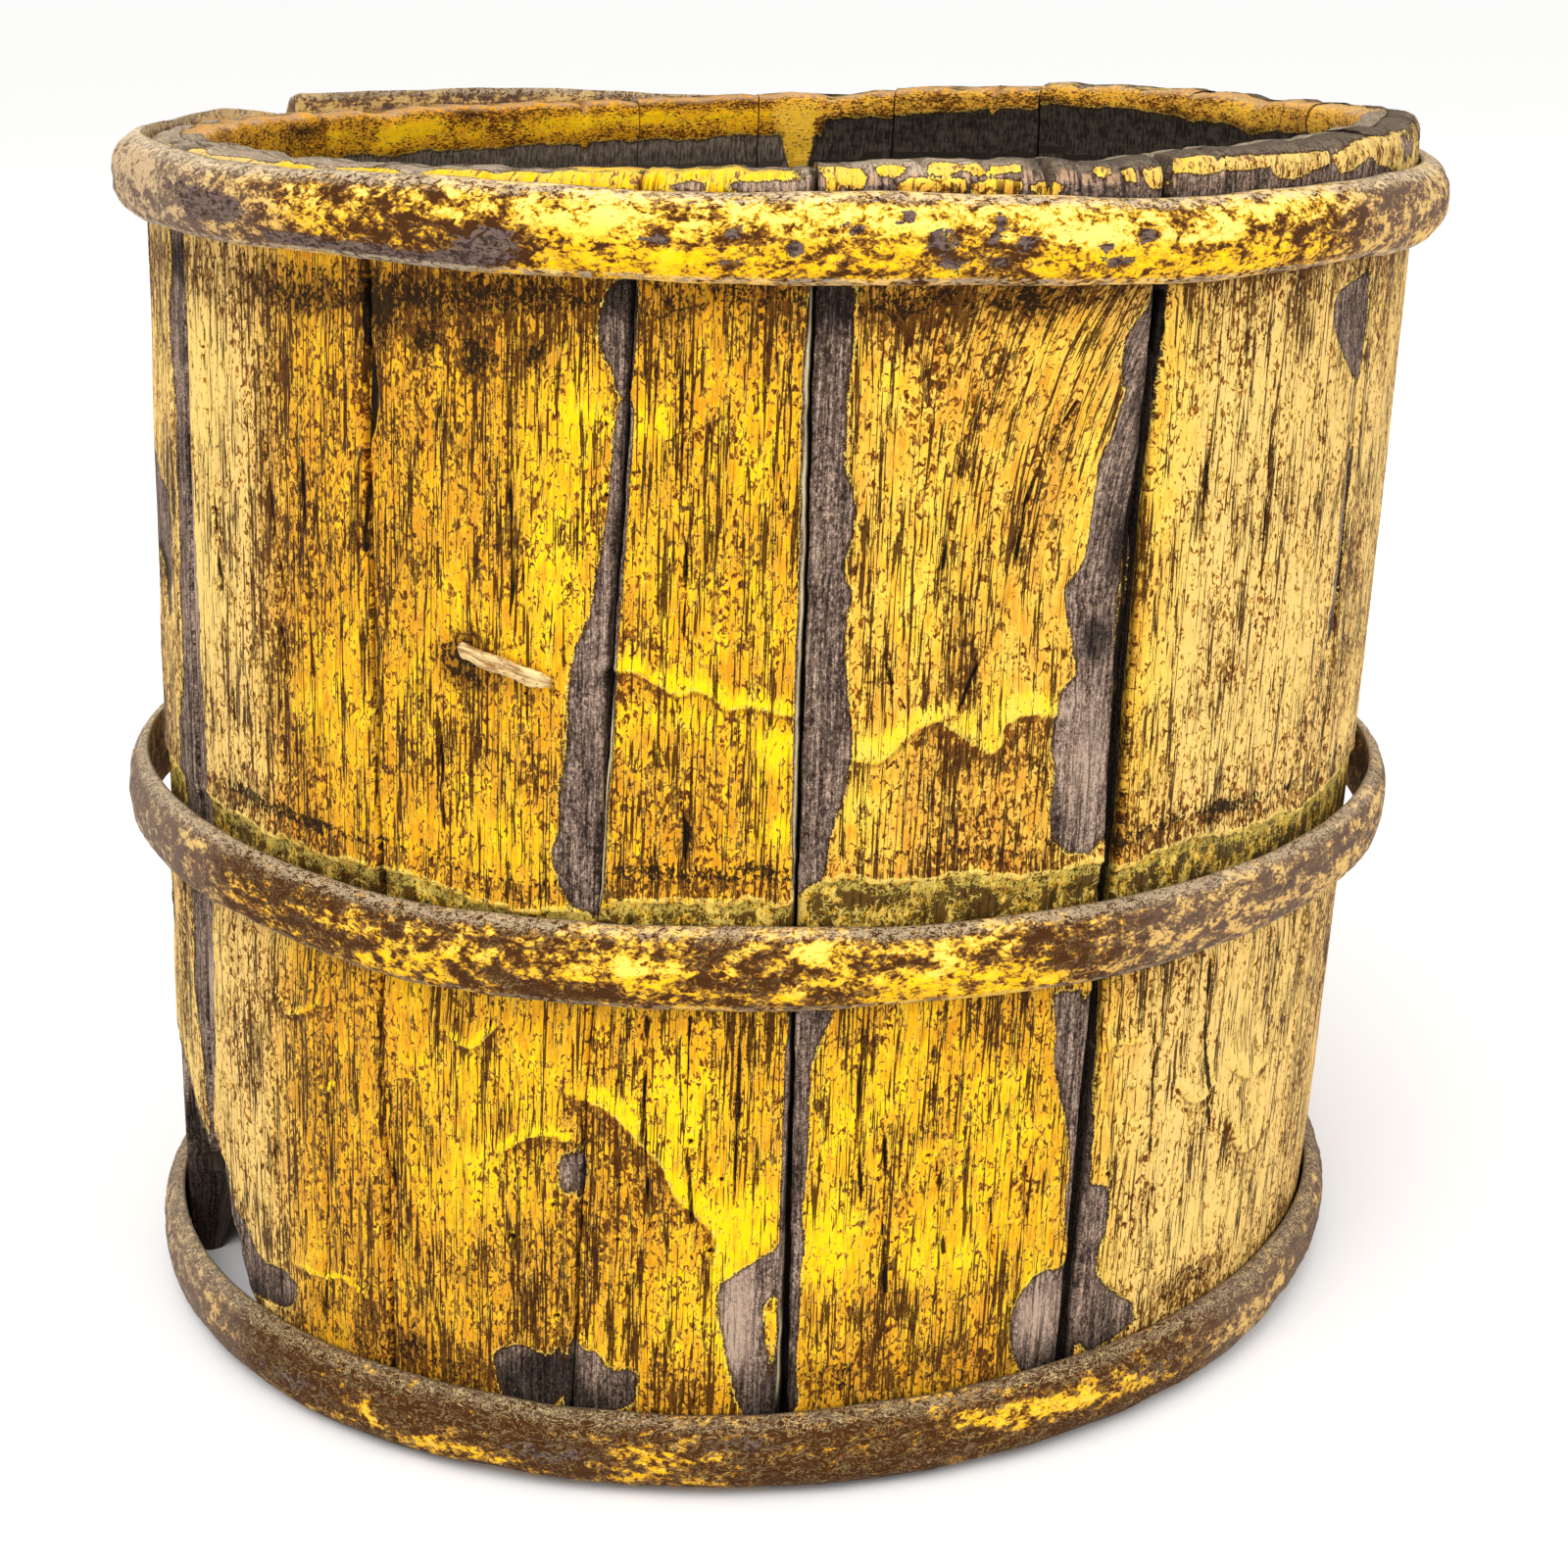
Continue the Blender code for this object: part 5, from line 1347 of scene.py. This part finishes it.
def painted_finish():
    """Yellow paint, thick in places and worn along the grain, over weathered wood."""
    make = Finish("worn_yellow_paint")
    cover, crack, lip, ledge = make.layer("edges")
    bright, grime_and_shade, worn, rub = make.layer("marks")
    pale, inner, end, over = make.layer("zones")
    flat = 1.0 - make.larger(end, make.larger(inner, over))
    fibres = make.noise(1.05, 0.032, 3.0, 0.5, 0.15)
    strands = make.noise(0.50, 0.06, shift=31.0)
    threads = make.noise(3.2, 0.16, 2.0, 0.6, shift=9.0)
    mottle = make.noise(0.36, 0.20, 8.0, 0.66, shift=4.0)
    worms = make.noise(1.30, 0.78, 4.0, 0.60, 0.9, shift=7.0)
    curls = make.noise(1.1, 0.9, 3.0, 0.6, 1.4, shift=21.0)
    cloud = make.noise(0.085, 0.040, 3.0, 0.5, shift=2.0)
    crumbs = make.noise(4.4, 3.4, 3.0, 0.6, shift=3.0)
    twists = make.noise(0.55, 0.62, 3.0, 0.5, 1.3, shift=41.0)

    # Yellow paint from thin and deep to thick and bright, with brown where it has flaked
    above = make.band(ledge, 0.5, 5.0, 0.8) * flat
    wear = make.held(1.5 * cloud + 2.2 * mottle + 0.30 * worn + 0.28 * grime_and_shade - 0.42 * bright
                     + 0.3 * above - 1.43)
    tone = 0.8 * mottle + 0.4 * threads + 0.12 * bright - 0.10 * wear - 0.06
    yellow = make.stepped(tone, DEEP_YELLOW, (0.42, 0.54, 1.0, MIDDLE_YELLOW),
                          (0.53, 0.64, 1.0, BRIGHT_YELLOW))
    yellow = make.stepped(pale + 0.8 * mottle - 0.4, yellow, (0.05, 0.80, 0.85, PALE_YELLOW))
    yellow = make.blend(0.4 * inner, yellow, INSIDE_YELLOW)
    level = worms + 0.185 * wear
    paint = make.stepped(level, yellow, (0.560, 0.595, 0.25, HALO_YELLOW), (0.600, 0.630, 0.85, OCHRE),
                         (0.645, 0.665, 0.90, RUST_BROWN_AND_SHADE), (0.695, 0.720, 0.85, LINE_BROWN))
    line_level = (make.apart(fibres, 0.5) - 0.20 * strands - 0.027 * wear + 0.16 * threads + 0.06 * crumbs
                  + 0.014 * make.held(bright) - 0.012)
    open_line = (1.0 - make.step(line_level, 0.006, 0.018)) * flat
    halo = make.band(line_level, 0.008, 0.045, 0.02) * flat
    paint = make.blend(0.25 * halo, paint, HALO_YELLOW)
    paint = make.blend(0.92 * open_line, paint, LINE_BROWN)

    # Lips of paint that ran, with dirt and painted shade below them and a painted highlight on their crests,
    # and the mossy seat of the middle hoop under its ledge
    # A band of dirt and painted shade just below each lip.
    jagged = 0.8 * worms - lip - 0.4
    paint = make.blend(0.45 * make.band(jagged, 0.0, 1.1, 0.4), paint, RUST_BROWN_AND_SHADE)
    # Painted highlight along the crest of each lip.
    crest = make.band(lip + 0.6 * curls - 0.3, 0.02, 0.7, 0.15) * make.step(worms, 0.46, 0.50)
    paint = make.blend(0.45 * crest, paint, HALO_YELLOW)
    below = 1.6 * mottle - ledge - 0.8
    seat = make.band(below, 0.0, 10.5, 0.4) * flat
    moss = make.stepped(mottle + 0.6 * worms, OLIVE_DARK, (0.80, 0.84, 1.0, OLIVE),
                        (0.85, 0.88, 1.0, MIDDLE_YELLOW), (0.89, 0.92, 1.0, MOSS))
    paint = make.blend(0.92 * seat, paint, moss)
    net = make.ridge(twists, 0.016, 0.036) * (seat * make.step(mottle, 0.43, 0.48))
    paint = make.blend(0.7 * net, paint, MOSS)
    frill = make.band(below, 0.0, 2.2, 0.5) * flat * make.step(curls, 0.46, 0.53)
    paint = make.blend(0.4 * frill, paint, HALO_YELLOW)
    brink = make.band(ledge, -0.3, 1.0, 0.3) * make.step(curls, 0.44, 0.50) * flat
    paint = make.blend(0.8 * brink, paint, MOSS)

    # Grime and painted shade, soot and rubbed edges over the paint
    wash = 0.55 * grime_and_shade + 1.6 * mottle + 0.8 * worms - 1.2
    paint = make.stepped(wash, paint, (0.15, 0.75, 0.66, WASH_BROWN))
    scallops = make.band(ledge, 3.4, 6.4, 0.8) * flat
    dirt_and_shade = make.step(0.32 * grime_and_shade + 1.5 * curls + worms + 0.32 * scallops - 1.25, 0.40, 0.48)
    paint = make.blend(0.88 * dirt_and_shade, paint, SOOT)
    paint = make.blend(0.85 * rub, paint, RUBBED_PALE)
    brow = make.step(over - 0.3 * inner, 0.35, 0.75) * make.step(mottle + worms, 0.88, 1.02)
    paint = make.blend(brow * (0.6 * inner + 0.2), paint, RIM_TAN)

    # Bare wood, greyer outside, darker inside, and rubbed and aged on the stave tops
    streaks = make.noise(1.9, 0.09, 5.0, 0.7, shift=12.0)
    specks = make.noise(2.6, 1.5, 4.0, 0.7, shift=15.0)
    wood_tone = 0.35 * streaks + 0.45 * specks + 0.2 * mottle + 0.05 * bright
    wood = make.stepped(wood_tone, DARK_WOOD, (0.43, 0.52, 1.0, GREY_WOOD))
    wood = make.stepped(wood_tone + 0.3 * crumbs, wood, (0.67, 0.73, 1.0, LIGHT_WOOD))
    wood = make.blend(make.step(bright, 0.4, 1.2) * flat * 0.45, wood, LIGHT_WOOD)
    wood = make.blend(0.6 * open_line, wood, DARK_WOOD)
    inside = make.stepped(streaks + 0.6 * mottle - 0.3, INNER_DARK, (0.38, 0.64, 1.0, INNER_WOOD))
    wood = make.blend(inner, wood, inside)
    # Near black where grime and painted shade are strong, as on the stave sides in the seams.
    wood = make.stepped(grime_and_shade + mottle - 0.5, wood, (0.35, 1.0, 0.8, GAP_BLACK))
    wood = make.blend(0.8 * rub, wood, RUBBED_PALE)
    top_tone = make.stepped(crumbs + 0.6 * mottle, DARK_WOOD, (0.7, 0.85, 1.0, TOP_GREY))
    wood = make.blend(0.8 * end, wood, top_tone)
    wood = make.blend(make.step(over, 0.45, 0.8) * make.step(curls, 0.48, 0.54) * 0.35, wood, RUBBED_PALE)
    aged = make.step(over, 0.05, 0.5) * make.step(grime_and_shade, 0.1, 0.45)
    wood = make.blend(0.7 * aged, wood, DARK_WOOD)
    crest_line = make.band(over, 0.2, 0.75, 0.15) * make.step(streaks, 0.50, 0.56)
    wood = make.blend(0.6 * crest_line, wood, RIM_TAN)

    # Paint where its ragged edge reaches, bare wood beyond it, painted shade near black in the cracks and
    # worm holes
    edge = cover + (1.4 * worms + 0.8 * crumbs + 0.9 * threads + 1.2 * mottle - 2.15)
    painted = make.step(edge, -0.05, 0.05)
    # Painted highlight in a thin line along the edge of the paint.
    brim = make.band(edge, -0.02, 0.34, 0.08) * make.step(curls, 0.47, 0.52)
    paint = make.blend(0.65 * brim, paint, HALO_YELLOW)
    drop = make.step(edge, -0.5, -0.22) * (1.0 - painted)
    wood = make.blend(0.75 * drop, wood, LINE_BROWN)
    # Painted shade: near black in the cracks and worm holes.
    black = 1.0 - make.step(crack + 0.5 * worms + 0.3 * threads - 0.4, -0.08, 0.08)
    surface = make.blend(0.95 * black, make.blend(painted, wood, paint), GAP_BLACK)
    height = (0.34 * painted + 0.28 * mottle - 0.22 * open_line - 0.16 * threads
              - 0.10 * make.step(level, 0.60, 0.68) + 0.06 * crumbs + 0.3 * wood_tone - 0.4 * black
              + 0.1 * over + 0.12 * net)
    return make.done(surface, -0.30 * painted + 0.2 * dirt_and_shade + 0.15 * mottle + 0.80, height, gleam=0.08)


def hoop_finish():
    """Split saplings: speckled yellow paint with bark showing through, rubbed along the upper edge."""
    make = Finish("worn_hoop_paint")
    bright, dark, pale, dirt_and_shade = make.layer("marks")
    section, end = make.layer("zones")[:2]
    mottle = make.noise(0.26, 0.40, 6.0, 0.62)
    worms = make.noise(0.85, 1.15, 4.0, 0.60, 1.0, shift=7.0)
    curls = make.noise(0.45, 0.70, 4.0, 0.6, 1.5, shift=5.0)
    threads = make.noise(0.35, 2.4, 4.0, 0.62, shift=9.0)
    crumbs = make.noise(3.4, 4.0, 3.0, 0.6, shift=3.0)
    cloud = make.noise(0.035, 0.1, 3.0, 0.5, shift=2.0)

    upper = make.step(section, 0.80, 0.97)
    lower = make.step(1.0 - section, 0.82, 0.97)
    level = (0.7 * worms + 0.5 * curls + mottle + 0.7 * cloud + 0.15 * bright - 0.05 * dark - 0.19 * dirt_and_shade
             - 0.03 * upper - 0.91)
    surface = make.stepped(level, HOOP_UMBER, (0.43, 0.47, 1.0, HOOP_BROWN), (0.48, 0.51, 1.0, HOOP_OCHRE),
                           (0.525, 0.56, 1.0, MIDDLE_YELLOW), (0.60, 0.70, 1.0, BRIGHT_YELLOW))
    # Painted highlight: cream on the upper half of the hoop and on its bright spots.
    upper_highlight = section + 0.35 * make.step(bright, 0.75, 1.2)
    cream = make.step(upper_highlight, 0.35, 0.80) * make.step(level, 0.55, 0.68)
    surface = make.blend(cream * (0.8 - 0.7 * dirt_and_shade), surface, HOOP_HIGHLIGHT_CREAM)
    old = make.stepped(level, FADED_BROWN, (0.44, 0.56, 1.0, FADED_TAN))
    faded = make.step(pale + 1.2 * mottle - 0.6, 0.1, 0.9)
    surface = make.blend(faded * (0.7 * make.held(pale - 1.0) + 0.58), surface, old)
    bare = make.step(dark + 1.6 * curls + 0.8 * worms - 1.2, 0.50, 0.56)
    bark = make.stepped(worms + 0.5 * threads, DARK_BARK_AND_SHADE, (0.68, 0.80, 1.0, BARK))
    surface = make.blend(bare, surface, bark)
    amount = make.held(0.25 * dirt_and_shade + 0.6 * upper + 1.5 * mottle - 0.65)
    surface = make.blend(make.ridge(curls, 0.008, 0.024) * (0.8 * amount), surface, HOOP_CREAM)
    rubbed = make.step(0.10 * upper + 0.6 * worms + 0.4 * crumbs, 0.575, 0.60)
    surface = make.blend(rubbed * (upper * (0.8 - 0.62 * dirt_and_shade)), surface, HOOP_RUBBED)
    low_line = make.step(lower, 0.35, 0.7) * make.step(curls, 0.42, 0.52)
    surface = make.blend(low_line * (0.5 - 0.45 * dirt_and_shade), surface, HOOP_RUBBED)
    # Painted shade along the lower edge of the dirtier hoops, strongest on the bottom hoop by the floor.
    surface = make.blend(dirt_and_shade * lower * 0.6, surface, DARK_BARK_AND_SHADE)
    surface = make.stepped(0.35 * crumbs + 0.65 * worms + 0.02 * dirt_and_shade, surface, (0.61, 0.64, 0.8, SOOT))
    end_tone = make.stepped(crumbs, DARK_WOOD, (0.4, 0.62, 1.0, GREY_WOOD))
    surface = make.blend(0.8 * end, surface, end_tone)
    painted = make.step(level, 0.50, 0.54) * (1.0 - bare)
    height = 0.20 * painted + 0.35 * mottle - 0.16 * threads + 0.25 * worms + 0.06 * crumbs - 0.2 * bare
    return make.done(surface, -0.2 * painted + 0.2 * mottle + 0.66, height, gleam=0.1)


def plain_finish(name, dark_tone, light_tone, roughness, across=1.2, along=0.06, turn=0.0):
    """Wood or iron with streaks and specks, for the pieces that keep their solid shape."""
    make = Finish(name)
    point = make.node("TexCoord", {}, "Object")
    turned = make.node("Mapping", {"Vector": point, "Rotation": (0.0, 0.0, math.radians(turn))})
    streaks = make.noise(1000.0 * across, 1000.0 * along, 6.0, 0.66, deep=1000.0 * across, grain=turned)
    specks = make.noise(1300.0, 1300.0, 4.0, 0.65, deep=1300.0, grain=point)
    tone = make.stepped(streaks + 0.5 * specks, dark_tone, (0.55, 0.95, 1.0, light_tone))
    return make.done(tone, 0.2 * specks + roughness, 0.35 * streaks + 0.15 * specks, 0.8)


def splinter_finish():
    make = Finish("raw_splinter")
    threads = make.noise(0.25, 3.2, 4.0, 0.6)
    specks = make.noise(1.2, 2.0, 4.0, 0.6, shift=5.0)
    tone = make.stepped(threads, SPLINTER_BROWN, (0.36, 0.62, 1.0, SPLINTER_PALE))
    tone = make.stepped(specks, tone, (0.56, 0.66, 0.7, SPLINTER_DARK))
    return make.done(tone, 0.7, 0.3 * threads, 1.0)


# The studio

FLOOR_REACH = 60.0
FLOOR_WHITE = (0.97, 0.97, 0.97, 1.0)
SKY_STRENGTH = 1.0
LAMP_TARGET = (0.0, 0.0, 0.1)


def linked(name, data):
    """A new object of the scene."""
    piece = bpy.data.objects.new(name, data)
    bpy.context.scene.collection.objects.link(piece)
    return piece


def make_floor():
    side = FLOOR_REACH
    mesh = bpy.data.meshes.new("floor")
    corners = [(-side, -side, 0), (side, -side, 0), (side, side, 0), (-side, side, 0)]
    mesh.from_pydata(corners, [], [(0, 1, 2, 3)])
    material = bpy.data.materials.new("pale_floor")
    material.use_nodes = True
    shader = material.node_tree.nodes["Principled BSDF"]
    shader.inputs["Base Color"].default_value = FLOOR_WHITE
    shader.inputs["Roughness"].default_value = 0.9
    shader.inputs["Specular IOR Level"].default_value = 0.1
    mesh.materials.append(material)
    floor = linked("studio_floor", mesh)


def make_lamp(name, position, size, power):
    """A square lamp that points at the part."""
    lamp = bpy.data.lights.new(name, "AREA")
    lamp.shape = "RECTANGLE"
    lamp.size = size
    lamp.size_y = size
    lamp.energy = power
    holder = linked(name, lamp)
    holder.location = position
    aim = Vector(LAMP_TARGET) - Vector(position)
    holder.rotation_euler = aim.to_track_quat("-Z", "Y").to_euler()


def make_world():
    """Even light from all round, seen as plain white behind the part."""
    world = bpy.data.worlds.new("studio")
    world.use_nodes = True
    nodes = world.node_tree.nodes
    path = nodes.new("ShaderNodeLightPath")
    white = nodes.new("ShaderNodeBackground")
    white.inputs["Color"].default_value = (1.0, 1.0, 1.0, 1.0)
    choice = nodes.new("ShaderNodeMixShader")
    soft = nodes["Background"]
    soft.inputs["Color"].default_value = (1.0, 0.995, 0.985, 1.0)
    soft.inputs["Strength"].default_value = SKY_STRENGTH
    links = world.node_tree.links
    links.new(path.outputs["Is Camera Ray"], choice.inputs[0])
    links.new(soft.outputs[0], choice.inputs[1])
    links.new(white.outputs[0], choice.inputs[2])
    links.new(choice.outputs[0], nodes["World Output"].inputs["Surface"])
    bpy.context.scene.world = world


def make_camera():
    right, down, forward = camera_axes()
    camera = bpy.data.cameras.new("photo_camera")
    camera.sensor_width = SENSOR
    camera.lens = FOCAL_PIXELS * SENSOR / PICTURE_WIDTH
    camera.clip_start = 0.01
    holder = linked("photo_camera", camera)
    turn = Matrix((right, -down, -forward)).transposed()
    holder.matrix_world = Matrix.Translation(CAMERA_PLACE) @ turn.to_4x4()
    bpy.context.scene.camera = holder


def dress():
    paint = painted_finish()
    hoop_paint = hoop_finish()
    for number in range(len(STAVES)):
        make_stave(number, FINE_STEP if number in FRONT_STAVES else COARSE_STEP, paint)
    for number, hoop in enumerate(HOOPS):
        make_hoop(hoop, HOOP_SEED + HOOP_SEED_STEP * number, hoop_paint)
    make_splinter(splinter_finish())
    boards = plain_finish("weathered_boards", INNER_DARK, INNER_WOOD, 0.72, 0.9, 0.02, -BOARD_TURN)
    pegs = plain_finish("peg_wood", INNER_DARK, LIGHT_WOOD, 0.7)
    iron = plain_finish("rusty_iron_skin", IRON_DARK, IRON_RUST, 0.55, 1.2, 1.2)
    solids = {"bottom_board": boards, "bottom_dowel": pegs, "hoop_tack": iron}
    for name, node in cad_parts.items():
        for start, material in solids.items():
            if name.startswith(start):
                node.material_slots[0].material = material


dress()
make_floor()
make_world()
make_lamp("key", (-0.5, -1.0, 1.7), 1.4, 17.0)
make_lamp("fill", (1.1, -0.9, 1.1), 1.2, 6.0)
make_camera()
bpy.context.scene.view_settings.view_transform = "Standard"
